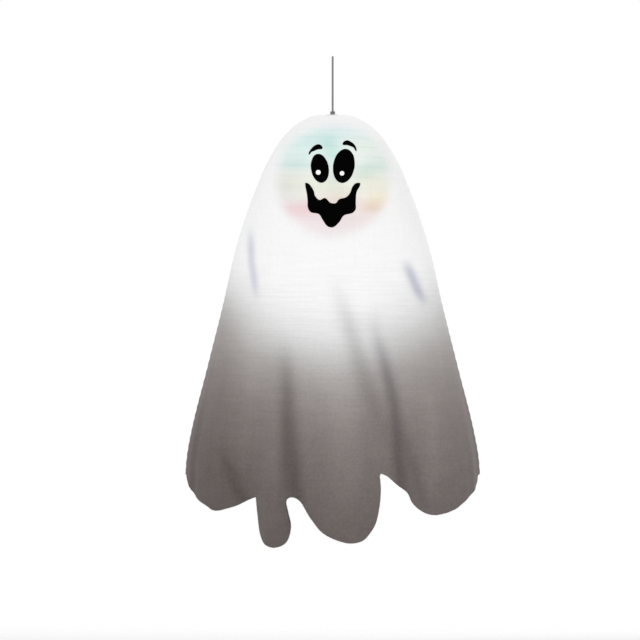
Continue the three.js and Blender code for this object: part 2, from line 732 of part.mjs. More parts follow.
// The hub: the cord's ends stand in its sockets, the expander's bar passes through it,
// and the lamp hook hangs in its eye
function makeHub() {
  const body = block(bothWays(HUB_WIDTH), bothWays(HUB_DEPTH), [hubBottomZ, hubTopZ]);
  const thickness = EYE_LUG_THICKNESS / 2;
  const lug = [
    block(bothWays(eyeLugWidth), [-thickness, thickness], [hubEyeZ, hubBottomZ + JOIN]),
    cylinderY(eyeLugWidth / 2, -thickness, thickness, 0, hubEyeZ),
  ];
  const holes = [
    cylinderX(EXPANDER_WIRE / 2 + TURNING, -HUB_WIDTH, HUB_WIDTH, 0, barZ),
    cylinderY(EYE_DIAMETER / 2, -thickness - CUT, thickness + CUT, 0, hubEyeZ),
  ];
  for (const side of [-1, 1]) {
    const y = (side * CORD_SPACING) / 2;
    holes.push(cylinderZ(CORD_DIAMETER / 2 + TOUCH, cordEndZ - TOUCH, hubTopZ + CUT, 0, y, 16));
  }
  addPart("hanger_hub", build(body, lug, holes), whitePlastic);
}

// The lantern's round surface, set in by some distance: [radius, height] at an angle from the top
function roundPoint(angle, inset) {
  const up = (LANTERN_HALF_HEIGHT - inset) * Math.cos(angle);
  return [(LANTERN_RADIUS - inset) * Math.sin(angle), headZ + up];
}

// One gore of the lantern's skin: a quarter of the way round, on the side given by the signs of x and y
function lanternGore(sideX, sideY) {
  const mouth = Math.asin(MOUTH_RADIUS / LANTERN_RADIUS);
  const layer = (inset) =>
    Array.from({ length: SKIN_ROWS + 1 }, (_, row) => {
      const [radius, z] = roundPoint(THREE.MathUtils.lerp(mouth, Math.PI - mouth, row / SKIN_ROWS), inset);
      const start = Math.asin(TOUCH / 2 / radius);
      return Array.from({ length: GORE_COLUMNS + 1 }, (_, column) => {
        const turn = THREE.MathUtils.lerp(start, Math.PI / 2 - start, column / GORE_COLUMNS);
        return new THREE.Vector3(sideX * radius * Math.cos(turn), sideY * radius * Math.sin(turn), z);
      });
    });
  const geometry = shellGeometry(layer(0), layer(SKIN_THICKNESS));
  return sideX * sideY > 0 ? geometry : turnFaces(geometry);
}

function makeLantern() {
  for (const [name, sideX, sideY] of GORES) addPart(name, lanternGore(sideX, sideY), skinWhite);
  const inset = SKIN_THICKNESS + RIB_CLEARANCE + RIB_WIRE / 2;
  const start = Math.asin(RIB_START_RADIUS / LANTERN_RADIUS);
  const ribs = coilRoute(0, 0, RIB_TURNS, RIB_STEPS, (t) =>
    roundPoint(THREE.MathUtils.lerp(start, Math.PI - start, t), inset),
  );
  addPart("rib_spiral", coil("rib_spiral", ribs, RIB_WIRE, RIB_STEPS), steelWire);
  const ring = () => new THREE.TorusGeometry(MOUTH_RADIUS, RING_WIRE / 2, 6, 24);
  addPart("upper_ring", ring().translate(0, 0, upperRingZ), steelWire);
  addPart("lower_ring", ring().translate(0, 0, lowerRingZ), steelWire);
  makeExpander();
}

function makeExpander() {
  const x = EXPANDER_HALF_WIDTH;
  const footX = x - EXPANDER_FOOT;
  const route = bentRoute(
    [
      [-footX, 0, footZ],
      [-x, 0, footZ],
      [-x, 0, barZ],
      [x, 0, barZ],
      [x, 0, footZ],
      [footX, 0, footZ],
    ],
    EXPANDER_CORNER,
  );
  addPart("expander", wire(route, EXPANDER_WIRE, 8), steelWire);
}

// Half of the hook, from its free end over the bend to the middle of its length: [sideways, up]
function hookHalf() {
  const closing = [0.35, 0.65, 1].map((share) => [
    -HOOK_BEND * (1 - THREE.MathUtils.smoothstep(share, 0, 1)),
    -HOOK_CLOSING * share,
  ]);
  return [[HOOK_BEND, -HOOK_TIP], ...arc(HOOK_BEND, 6), ...closing];
}

// The lamp hook: its upper bend lies in the YZ plane, its lower bend in the XZ plane
function makeHook() {
  const upper = hookPivotZ - HOOK_BEND;
  const lower = lampPivotZ + HOOK_BEND;
  const route = [
    ...hookHalf().map(([y, up]) => new THREE.Vector3(0, y, upper + up)),
    ...hookHalf()
      .map(([x, up]) => new THREE.Vector3(x, 0, lower - up))
      .reverse(),
  ];
  addPart("lamp_hook", wire(route, HOOK_WIRE, 6), steelWire);
}

// Lamp. Its own frame has its origin where it hangs on the hook; its eye is above the case.
const lampEyeZ = HOOK_WIRE / 2 + HOOK_PLAY - EYE_DIAMETER / 2;
const caseTop = lampEyeZ - EYE_DIAMETER / 2 - EYE_RIM - EYE_STEM;
const doorScrewZ = caseTop - CASE_WALL - DOOR_SCREW_BOSS / 2 + BOSS_SINK;
const crossTop = doorScrewZ - DOOR_SCREW_BOSS / 2 + JOIN;
const contactTopZ = crossTop - CROSS_WALL - TOUCH;
const cellTipZ = contactTopZ - CONTACT_THICKNESS - TOUCH;
const contactBottomZ = cellTipZ - CELL_LENGTH - TOUCH - SPRING_LENGTH - TOUCH;
const caseBottom = contactBottomZ - CONTACT_THICKNESS - TOUCH - CASE_WALL;
const caseHalf = CELL_PITCH + CELL_DIAMETER / 2 + CELL_SIDE_ROOM + CASE_WALL;
const screwInset = CASE_WALL + SCREW_ROOM + CASE_SCREW_HEAD / 2;
const seamY = -CASE_FORWARD;
const frontY = seamY - BOARD_ROOM - BOARD_THICKNESS - BOARD_POST - CASE_WALL;
const boardFrontY = frontY + CASE_WALL + BOARD_POST;
const boardRearY = boardFrontY + BOARD_THICKNESS;
const floorY = seamY + TOUCH; // front face of the rear shell's floor
const bayY = floorY + CASE_WALL;
const cellY = bayY + TOUCH + CELL_DIAMETER / 2;
const rearY = cellY + CELL_DIAMETER / 2 + CELL_REAR_ROOM;
const lensZ = (caseTop + caseBottom) / 2;
const boardHeight = caseTop - caseBottom - 2 * BOARD_MARGIN;
const doorInnerY = rearY + TOUCH;
const hingeY = doorInnerY + DOOR_THICKNESS / 2;
const hingeZ = caseBottom - HINGE_BARREL / 2;
const switchY = frontY + CASE_WALL + SWITCH_INSET + SWITCH_DEPTH / 2;
const knobX = -SWITCH_TRAVEL / 2;
const caseScrewHole = (CASE_SCREW + SCREW_HOLE_PLAY) / 2;
const leadX = CELL_PITCH + CELL_DIAMETER / 2 - LEAD_INSET;
const leadZ = crossTop + LEAD_RISE;

function caseScrewPlaces() {
  const x = caseHalf - screwInset;
  return [
    [-x, caseTop - screwInset],
    [x, caseTop - screwInset],
    [-x, caseBottom + screwInset],
    [x, caseBottom + screwInset],
  ];
}

function makeFrontShell() {
  const inner = caseHalf - CASE_WALL;
  const innerCorner = CASE_CORNER - CASE_WALL;
  const shell = roundPlate(caseHalf, caseBottom, caseTop, CASE_CORNER, frontY, seamY);
  const cavity = roundPlate(
    inner,
    caseBottom + CASE_WALL,
    caseTop - CASE_WALL,
    innerCorner,
    frontY + CASE_WALL,
    seamY + CUT,
  );
  const slotDepth = KNOB_DEPTH / 2 + TOUCH;
  const holes = [
    cylinderY(LENS_DIAMETER / 2 + TOUCH, frontY - CUT, frontY + CASE_WALL + CUT, 0, lensZ, 32),
    block(
      bothWays(SWITCH_TRAVEL + KNOB_WIDTH + 2 * TOUCH),
      [switchY - slotDepth, switchY + slotDepth],
      [caseBottom - CUT, caseBottom + CASE_WALL + CUT],
    ),
  ];
  const hollow = build(shell, [], [cavity]);
  const posts = [];
  for (const [x, z] of caseScrewPlaces()) {
    posts.push(cylinderY(SCREW_BOSS / 2, frontY + JOIN, seamY, x, z, 12));
    holes.push(cylinderY(caseScrewHole, seamY - CASE_SCREW_LENGTH, seamY + CUT, x, z, 10));
  }
  for (const x of [-1, 1]) {
    for (const z of [-1, 1]) {
      const postX = x * (BOARD_WIDTH / 2 - BOARD_POST_INSET);
      const postZ = lensZ + z * (boardHeight / 2 - BOARD_POST_INSET);
      posts.push(cylinderY(BOARD_POST_RADIUS, frontY + JOIN, boardFrontY - TOUCH, postX, postZ, 8));
    }
  }
  addPart("lamp_front_shell", build(hollow, posts, holes), whitePlastic, lamp);
}

function makeLens() {
  const r = LENS_DIAMETER / 2;
  const inside = frontY + CASE_WALL + TOUCH;
  const flange = inside + LENS_WALL;
  const dome = (radius, height) =>
    [1, 0.85, 0.6, 0.3, 0].map((share) => [radius * share, frontY - height * (1 - share * share)]);
  const outer = dome(r, LENS_RISE);
  const hollow = dome(r - LENS_WALL, LENS_RISE - LENS_WALL).reverse();
  const profile = [
    ...outer.reverse(),
    [r, inside],
    [r + LENS_RIM, inside],
    [r + LENS_RIM, flange],
    [r - LENS_WALL, flange],
    ...hollow.reverse(),
  ];
  const points = profile.map(([radius, y]) => new THREE.Vector2(radius, y));
  const lens = new THREE.LatheGeometry(points, 24).translate(0, 0, lensZ);
  addPart("lamp_lens", lens, frostedLens, lamp);
}

function makeRearShell() {
  const inner = caseHalf - CASE_WALL;
  const shell = roundPlate(caseHalf, caseBottom, caseTop, CASE_CORNER, floorY, rearY);
  const bay = roundPlate(
    inner,
    caseBottom + CASE_WALL,
    caseTop - CASE_WALL,
    CASE_CORNER - CASE_WALL,
    bayY,
    rearY + CUT,
  );
  const hollow = build(shell, [], [bay]);
  const thickness = EYE_LUG_THICKNESS / 2;
  const lugHalf = eyeLugWidth / 2;
  const barrel = HINGE_BARREL / 2;
  const web = HINGE_BARREL * 0.3; // half the height of what ties a knuckle to the case
  const added = [
    block([-thickness, thickness], [floorY, lugHalf], [caseTop - JOIN, lampEyeZ]),
    cylinderX(lugHalf, -thickness, thickness, 0, lampEyeZ),
    block(
      bothWays(2 * (inner + JOIN)),
      [bayY - JOIN, rearY - CROSS_SETBACK],
      [crossTop - CROSS_WALL, crossTop],
    ),
    cylinderY(DOOR_SCREW_BOSS / 2, bayY - JOIN, rearY - TOUCH, 0, doorScrewZ),
  ];
  const removed = [
    cylinderX(EYE_DIAMETER / 2, -EYE_LUG_THICKNESS, EYE_LUG_THICKNESS, 0, lampEyeZ),
    cylinderX(HINGE_PIN / 2 + TURNING, -caseHalf, caseHalf, hingeY, hingeZ, 10),
    cylinderY(DOOR_SCREW / 2 + SCREW_HOLE_PLAY, bayY + CASE_WALL, rearY + CUT, 0, doorScrewZ, 12),
  ];
  for (const side of [-1, 1]) {
    const ends = [side * (DOOR_KNUCKLE / 2 + TURNING), (side * HINGE_WIDTH) / 2].sort((p, q) => p - q);
    added.push(cylinderX(barrel, ends[0], ends[1], hingeY, hingeZ));
    added.push(block(ends, [rearY - HINGE_ROOT, rearY], [hingeZ - web, caseBottom + JOIN]));
    added.push(block(ends, [rearY - JOIN, hingeY], [hingeZ - web, hingeZ + web]));
    removed.push(cylinderY(LEAD_DIAMETER / 2 + LEAD_PLAY, floorY - CUT, bayY + CUT, side * leadX, leadZ, 8));
  }
  for (const [x, z] of caseScrewPlaces()) {
    removed.push(cylinderY(caseScrewHole, floorY - CUT, bayY + CUT, x, z, 10));
  }
  addPart("lamp_rear_shell", build(hollow, added, removed), whitePlastic, lamp);
}

function makeCaseScrews() {
  caseScrewPlaces().forEach(([x, z], i) => {
    const under = bayY + TOUCH;
    const top = under + CASE_SCREW_HEAD_HEIGHT;
    const head = cylinderY(CASE_SCREW_HEAD / 2, under, top, x, z, 12);
    const tip = seamY - CASE_SCREW_LENGTH + CASE_SCREW_SHORT;
    const shank = cylinderY(CASE_SCREW / 2, tip, under + CASE_SCREW_HEAD_HEIGHT / 2, x, z, 8);
    const reach = CASE_SCREW_HEAD * 0.36;
    const slot = block(
      [x - reach, x + reach],
      [top - SCREW_SLOT, top + CUT],
      [z - SCREW_SLOT / 2, z + SCREW_SLOT / 2],
    );
    addPart("case_screw_" + (i + 1), build(head, [shank], [slot]), nickel, lamp);
  });
}

function makeLights() {
  const board = block(
    [-BOARD_WIDTH / 2, BOARD_WIDTH / 2],
    [boardFrontY, boardRearY],
    [lensZ - boardHeight / 2, lensZ + boardHeight / 2],
  );
  addPart("led_board", board, boardGreen, lamp);
  const colours = { cyan: 0x8fe6ea, green: 0xa5e8b0, yellow: 0xf6e58a, pink: 0xf2a0b0, violet: 0xc3a5e6 };
  const degrees = { cyan: 90, green: 162, yellow: 18, pink: 234, violet: 306 };
  const r = LED_DIAMETER / 2;
  for (const [colour, hex] of Object.entries(colours)) {
    const turn = THREE.MathUtils.degToRad(degrees[colour]);
    const profile = [
      [0, 0],
      [r + LED_FLANGE, 0],
      [r + LED_FLANGE, 2 * LED_FLANGE],
      [r, 2 * LED_FLANGE],
      [r, LED_LENGTH - r],
      [r * 0.7, LED_LENGTH - r * 0.3],
      [0, LED_LENGTH],
    ].map(([radius, height]) => new THREE.Vector2(radius, height));
    const led = new THREE.LatheGeometry(profile, 10).rotateX(Math.PI);
    led.translate(LED_CIRCLE * Math.cos(turn), boardFrontY - TOUCH, lensZ + LED_CIRCLE * Math.sin(turn));
    addPart("led_" + colour, led, finish(hex, 0.2), lamp);
  }
}

// The switch: its body stands inside on the case's lower wall, and its knob comes out through the slot
function makeSwitch() {
  const z0 = caseBottom + CASE_WALL + TOUCH;
  const deep = (depth) => [switchY - depth / 2, switchY + depth / 2];
  const body = block(bothWays(SWITCH_WIDTH), deep(SWITCH_DEPTH), [z0, z0 + SWITCH_HEIGHT]);
  const channel = block(
    bothWays(SWITCH_TRAVEL + KNOB_WIDTH + 3 * TOUCH),
    deep(SWITCH_DEPTH - 2 * SWITCH_WALL),
    [z0 - CUT, z0 + SWITCH_HEIGHT - SWITCH_ROOF],
  );
  addPart("switch_body", build(body, [], [channel]), darkPlastic, lamp);
  const across = (x, width) => [x - width / 2, x + width / 2];
  const knobEnd = caseBottom - KNOB_OUT;
  const knobTop = z0 + SWITCH_HEIGHT - SWITCH_ROOF - TOUCH;
  const knob = block(across(knobX, KNOB_WIDTH), deep(KNOB_DEPTH), [knobEnd, knobTop]);
  const grooves = [-1, 0, 1].map((place) =>
    block(
      across(knobX + place * KNOB_GROOVE_PITCH, KNOB_GROOVE),
      deep(KNOB_DEPTH + CUT),
      [knobEnd - CUT, knobEnd + KNOB_GROOVE],
    ),
  );
  addPart("switch_slider", build(knob, [], grooves), darkPlastic, lamp);
}

// Three cells in series, the middle one upside down, with their contacts and springs
function makeBattery() {
  const r = CELL_DIAMETER / 2;
  [-1, 0, 1].forEach((place, i) => {
    const x = place * CELL_PITCH;
    const upside = place === 0 ? -1 : 1;
    const nub = CELL_NUB_DIAMETER / 2;
    const profile = [
      [0, -CELL_LENGTH],
      [r - CELL_EDGE, -CELL_LENGTH],
      [r, -CELL_LENGTH + CELL_EDGE],
      [r, -CELL_NUB - CELL_EDGE],
      [r - CELL_EDGE, -CELL_NUB],
      [nub, -CELL_NUB],
      [nub, 0],
      [0, 0],
    ];
    const cell = turned(profile, 16);
    if (upside < 0) cell.rotateX(Math.PI).translate(0, 0, contactBottomZ + TOUCH - cellTipZ);
    addPart("battery_" + (i + 1), cell.translate(x, cellY, cellTipZ), cellSleeve, lamp);
    const springBottom = upside > 0 ? contactBottomZ + TOUCH : cellTipZ - SPRING_LENGTH;
    const turns = coilRoute(x, cellY, SPRING_TURNS, SPRING_STEPS, (t) => [
      (SPRING_DIAMETER - SPRING_WIRE) / 2,
      springBottom + SPRING_WIRE / 2 + (SPRING_LENGTH - SPRING_WIRE) * t,
    ]);
    const name = "contact_spring_" + (i + 1);
    addPart(name, coil(name, turns, SPRING_WIRE, SPRING_STEPS), nickel, lamp);
  });
  const plate = (name, from, to, z) => {
    const reach = [from * CELL_PITCH - CONTACT_WIDTH / 2, to * CELL_PITCH + CONTACT_WIDTH / 2];
    const deep = [cellY - CONTACT_DEPTH / 2, cellY + CONTACT_DEPTH / 2];
    addPart(name, block(reach, deep, [z, z + CONTACT_THICKNESS]), nickel, lamp);
  };
  const upper = contactTopZ - CONTACT_THICKNESS;
  const lower = contactBottomZ - CONTACT_THICKNESS;
  plate("contact_tab_plus", -1, -1, upper);
  plate("contact_link_top", 0, 1, upper);
  plate("contact_link_bottom", -1, 0, lower);
  plate("contact_tab_minus", 1, 1, lower);
}

function makeLeads() {
  for (const [name, side, material] of [
    ["lead_red", -1, finish(0xb02020, 0.5)],
    ["lead_black", 1, finish(0x202020, 0.5)],
  ]) {
    const besideBoard = boardRearY + LEAD_DIAMETER / 2 + TOUCH;
    const places = [
      [cellY - LEAD_RISE / 2, 0],
      [bayY + LEAD_RISE / 2, 0],
      [floorY - LEAD_RISE / 2, 0],
      [(besideBoard + floorY) / 2 - LEAD_RISE / 4, -0.25 * LEAD_DROP],
      [besideBoard, -0.65 * LEAD_DROP],
      [besideBoard, -LEAD_DROP],
    ];
    const route = smoothRoute(
      places.map(([y, up]) => [side * leadX, y, leadZ + up]),
      12,
    );
    addPart(name, wire(route, LEAD_DIAMETER, 6), material, lamp);
  }
}

function makeDoor() {
  const plate = roundPlate(
    caseHalf,
    hingeZ + HINGE_BARREL / 2 + TURNING,
    caseTop,
    CASE_CORNER,
    doorInnerY,
    doorInnerY + DOOR_THICKNESS,
  );
  const half = DOOR_KNUCKLE / 2;
  const added = [
    cylinderX(HINGE_BARREL / 2, -half, half, hingeY, hingeZ),
    block([-half, half], [doorInnerY, doorInnerY + DOOR_THICKNESS], [hingeZ, hingeZ + HINGE_BARREL]),
  ];
  const screwHole = DOOR_SCREW / 2 + SCREW_HOLE_PLAY / 2;
  const outerY = doorInnerY + DOOR_THICKNESS;
  const removed = [
    cylinderX(HINGE_PIN / 2 + TURNING, -caseHalf, caseHalf, hingeY, hingeZ, 10),
    cylinderY(screwHole, doorInnerY - CUT, outerY + CUT, 0, doorScrewZ, 12),
  ];
  for (let k = 0; k < DOOR_GROOVES; k++) {
    const z = lensZ - DOOR_GROOVE_DROP + k * DOOR_GROOVE_PITCH;
    const deep = [outerY - DOOR_GROOVE_DEPTH, outerY + CUT];
    removed.push(block(bothWays(DOOR_GROOVE_LENGTH), deep, [z, z + DOOR_GROOVE_WIDTH]));
  }
  addPart("battery_door", build(plate, added, removed), whitePlastic, lamp);
  const pin = cylinderX(HINGE_PIN / 2, -HINGE_WIDTH / 2, HINGE_WIDTH / 2, hingeY, hingeZ, 10);
  addPart("door_hinge_pin", pin, steelWire, lamp);
  addPart("door_screw", doorScrew(outerY + TOUCH), nickel, lamp);
}

// The door's screw with a cross slot; its head starts at the given depth
function doorScrew(under) {
  const top = under + DOOR_SCREW_HEAD_HEIGHT;
  const head = cylinderY(DOOR_SCREW_HEAD / 2, under, top, 0, doorScrewZ, 16);
  const shankEnd = under + DOOR_SCREW_HEAD_HEIGHT / 3;
  const shank = cylinderY(DOOR_SCREW / 2, under - DOOR_SCREW_LENGTH, shankEnd, 0, doorScrewZ, 10);
  const reach = DOOR_SCREW_HEAD * 0.36;
  const deep = [top - SCREW_SLOT, top + CUT];
  const slots = [
    block([-reach, reach], deep, [doorScrewZ - SCREW_SLOT / 2, doorScrewZ + SCREW_SLOT / 2]),
    block([-SCREW_SLOT / 2, SCREW_SLOT / 2], deep, [doorScrewZ - reach, doorScrewZ + reach]),
  ];
  return build(head, [shank], slots);
}

makeCover();
makeHanger();
makeLantern();
makeHook();
makeFrontShell();
makeLens();
makeRearShell();
makeCaseScrews();
makeLights();
makeSwitch();
makeBattery();
makeLeads();
makeDoor();

export default root;
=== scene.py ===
import math

import bmesh
import bpy
import numpy as np
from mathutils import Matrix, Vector
from mathutils.geometry import delaunay_2d_cdt
from mathutils.kdtree import KDTree


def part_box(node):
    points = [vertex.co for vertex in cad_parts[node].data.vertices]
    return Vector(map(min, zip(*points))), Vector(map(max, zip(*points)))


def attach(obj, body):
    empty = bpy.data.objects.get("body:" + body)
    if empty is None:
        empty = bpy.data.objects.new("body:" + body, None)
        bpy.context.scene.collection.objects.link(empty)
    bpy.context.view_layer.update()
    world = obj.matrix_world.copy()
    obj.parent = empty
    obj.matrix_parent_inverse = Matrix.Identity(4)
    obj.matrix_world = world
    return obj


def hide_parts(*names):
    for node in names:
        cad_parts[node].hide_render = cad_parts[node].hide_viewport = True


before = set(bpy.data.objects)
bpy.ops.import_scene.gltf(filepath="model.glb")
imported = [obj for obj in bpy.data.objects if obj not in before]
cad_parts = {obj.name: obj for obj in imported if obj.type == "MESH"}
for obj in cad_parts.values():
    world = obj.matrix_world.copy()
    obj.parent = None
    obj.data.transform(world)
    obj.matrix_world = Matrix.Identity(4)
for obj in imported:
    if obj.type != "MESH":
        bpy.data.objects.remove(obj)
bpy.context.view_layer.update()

# Lengths are in millimetres until a mesh is made. +Z is up and the face looks along -Y.
MM = 0.001
PIXEL = 2.03  # millimetres that one pixel of the photograph spans
PHOTO_X, PHOTO_Y = 332.15, 57.5  # pixel at which the hanging point shows


def link(name, data):
    piece = bpy.data.objects.new(name, data)
    bpy.context.scene.collection.objects.link(piece)
    return piece


# Camera: level, straight at the face, through a long lens
CAMERA_DISTANCE = 30000
FRAME_WIDTH = 640 * PIXEL
AIM_X = (319.5 - PHOTO_X) * PIXEL
AIM_Z = (PHOTO_Y - 319.5) * PIXEL
camera = link("camera", bpy.data.cameras.new("camera"))
camera.location = (AIM_X * MM, -CAMERA_DISTANCE * MM, AIM_Z * MM)
camera.rotation_euler = (math.pi / 2, 0, 0)
camera.data.sensor_width = 36
camera.data.lens = 36 * CAMERA_DISTANCE / FRAME_WIDTH
camera.data.clip_end = 100
bpy.context.scene.camera = camera


# Meshes
def make(name, points, faces, material, stands_for="", body="lantern", slot=None):
    """A mesh piece from points in millimetres, riding on a CAD body.

    The slot argument is not used.
    """
    mesh = bpy.data.meshes.new(name)
    mesh.from_pydata((np.asarray(points) * MM).tolist(), [], [list(map(int, f)) for f in faces])
    mesh.validate()
    mesh.materials.append(material)
    mesh.shade_smooth()
    piece = link(name, mesh)
    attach(piece, body)
    if stands_for:
        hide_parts(*stands_for.split())
    return piece


def sharpen(piece, degrees=35):
    """Smooth shading that keeps edges above the angle sharp."""
    piece.data.set_sharp_from_angle(angle=math.radians(degrees))


def finish_cad(nodes, material, width):
    """Give CAD pieces a finished material and a small round on their edges."""
    for node in nodes.split():
        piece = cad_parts[node]
        piece.data.materials.clear()
        piece.data.materials.append(material)
        bevel = piece.modifiers.new("round", "BEVEL")
        bevel.width = width * MM
        bevel.segments = 2
        bevel.limit_method = "ANGLE"
        bevel.angle_limit = math.radians(30)


def square_to(points, closed=False):
    """Two directions square to the path and to each other at every point, without twist."""
    if closed:
        along = np.roll(points, -1, 0) - np.roll(points, 1, 0)
    else:
        along = np.gradient(points, axis=0)
    along /= np.linalg.norm(along, axis=1)[:, None]
    spoke = np.array([1.0, 0, 0]) if abs(along[0][2]) > 0.9 else np.array([0, 0, 1.0])
    first = []
    for step in along:
        spoke = spoke - step * spoke.dot(step)
        spoke /= np.linalg.norm(spoke)
        first.append(spoke)
    return np.array(first), np.cross(along, first)


def lengths_along(points):
    """Length of a path from its start to each of its points."""
    return np.concatenate([[0], np.cumsum(np.linalg.norm(np.diff(points, axis=0), axis=1))])


def at_lengths(points, places):
    """Points of a path at the given lengths from its start."""
    return np.stack([np.interp(places, lengths_along(points), column) for column in points.T], 1)


def around(sides):
    """Angles evenly round a circle."""
    return np.linspace(0, 2 * math.pi, sides, endpoint=False)


def band(first, second, sides):
    """Faces between two rings of points, from the number of each ring's first point."""
    pairs = [(k, (k + 1) % sides) for k in range(sides)]
    return [[first + k, second + k, second + n, first + n] for k, n in pairs]


def tube(name, points, radius, material, stands_for="", sides=12, closed=False, **place):
    """A round wire or cord; radius is a number or an array [point, side]."""
    points = np.asarray(points, float)
    count = len(points)
    first, second = square_to(points, closed)
    turn = around(sides)
    outwards = first[:, None] * np.cos(turn)[:, None] + second[:, None] * np.sin(turn)[:, None]
    rings = points[:, None] + np.broadcast_to(radius, (count, sides))[..., None] * outwards
    faces = []
    for i in range(count if closed else count - 1):
        faces += [f[::-1] for f in band(i * sides, (i + 1) % count * sides, sides)]
    if not closed:
        faces += [list(range(sides)), list(range((count - 1) * sides, count * sides))[::-1]]
    return make(name, rings.reshape(-1, 3), faces, material, stands_for, **place)


def turned(name, profile, material, stands_for, sides, body="lantern", axis="z", middle=(0, 0, 0)):
    """A round solid of the closed profile [radius, along the axis]."""
    profile = np.asarray(profile, float)
    count = len(profile)
    turn = around(sides)
    across, other = profile[:, :1] * np.cos(turn), profile[:, :1] * np.sin(turn)
    along = np.broadcast_to(profile[:, 1:], across.shape)
    order = {"z": (across, other, along), "y": (across, along, -other)}[axis]
    points = np.stack(order, -1).reshape(-1, 3) + np.asarray(middle, float)
    faces = []
    for i in range(count):
        j = (i + 1) % count
        if profile[i][0] > 1e-6 or profile[j][0] > 1e-6:
            faces += band(i * sides, j * sides, sides)
    piece = make(name, points, faces, material, stands_for, body)
    bm = bmesh.new()
    bm.from_mesh(piece.data)
    bmesh.ops.remove_doubles(bm, verts=bm.verts, dist=1e-6)
    bmesh.ops.recalc_face_normals(bm, faces=bm.faces)
    bm.to_mesh(piece.data)
    bm.free()
    sharpen(piece)


def smooth_line(points, step, closed=False):
    """Points a step apart on a smooth curve through the given points."""
    points = np.asarray(points, float)
    if closed:
        ends = np.vstack([points[-1:], points, points[:2]])
    else:
        ends = np.vstack([2 * points[0] - points[1], points, 2 * points[-1] - points[-2]])
    gaps = np.sqrt(np.linalg.norm(np.diff(ends, axis=0), axis=1))[:, None]
    before, after = gaps[:-1], gaps[1:]
    slopes = np.diff(ends, axis=0) / gaps
    tangents = slopes[:-1] + slopes[1:] - (ends[2:] - ends[:-2]) / (before + after)
    fine = []
    for p, q, m, n, gap in zip(ends[1:], ends[2:], tangents, tangents[1:], gaps[1:]):
        t = np.linspace(0, 1, 16, endpoint=False)[:, None]
        start = (1 + 2 * t) * (1 - t) ** 2 * p + t * (1 - t) ** 2 * gap * m
        fine.append(start + t**2 * (3 - 2 * t) * q + t**2 * (t - 1) * gap * n)
    fine = np.vstack(fine + [ends[-2][None]])
    length = lengths_along(fine)[-1]
    line = at_lengths(fine, np.linspace(0, length, max(2, int(round(length / step)) + 1)))
    return line[:-1] if closed else line


# Materials
def plug(tree, socket, value):
    """Link a node's input to a socket, or set it to a value."""
    if isinstance(value, bpy.types.NodeSocket):
        tree.links.new(value, socket)
    else:
        socket.default_value = value


def add(tree, kind, inputs, **settings):
    """A new shader node with its inputs and settings."""
    node = tree.nodes.new("ShaderNode" + kind)
    for key, value in settings.items():
        setattr(node, key, value)
    for key, value in inputs.items():
        plug(tree, node.inputs[key], value)
    return node


def linear(rgb):
    """Linear colour of display values from 0 to 255."""
    c = np.asarray(rgb, float) / 255
    return np.where(c <= 0.04045, c / 12.92, ((c + 0.055) / 1.055) ** 2.4)


def rgba(rgb):
    return (*linear(rgb), 1.0)


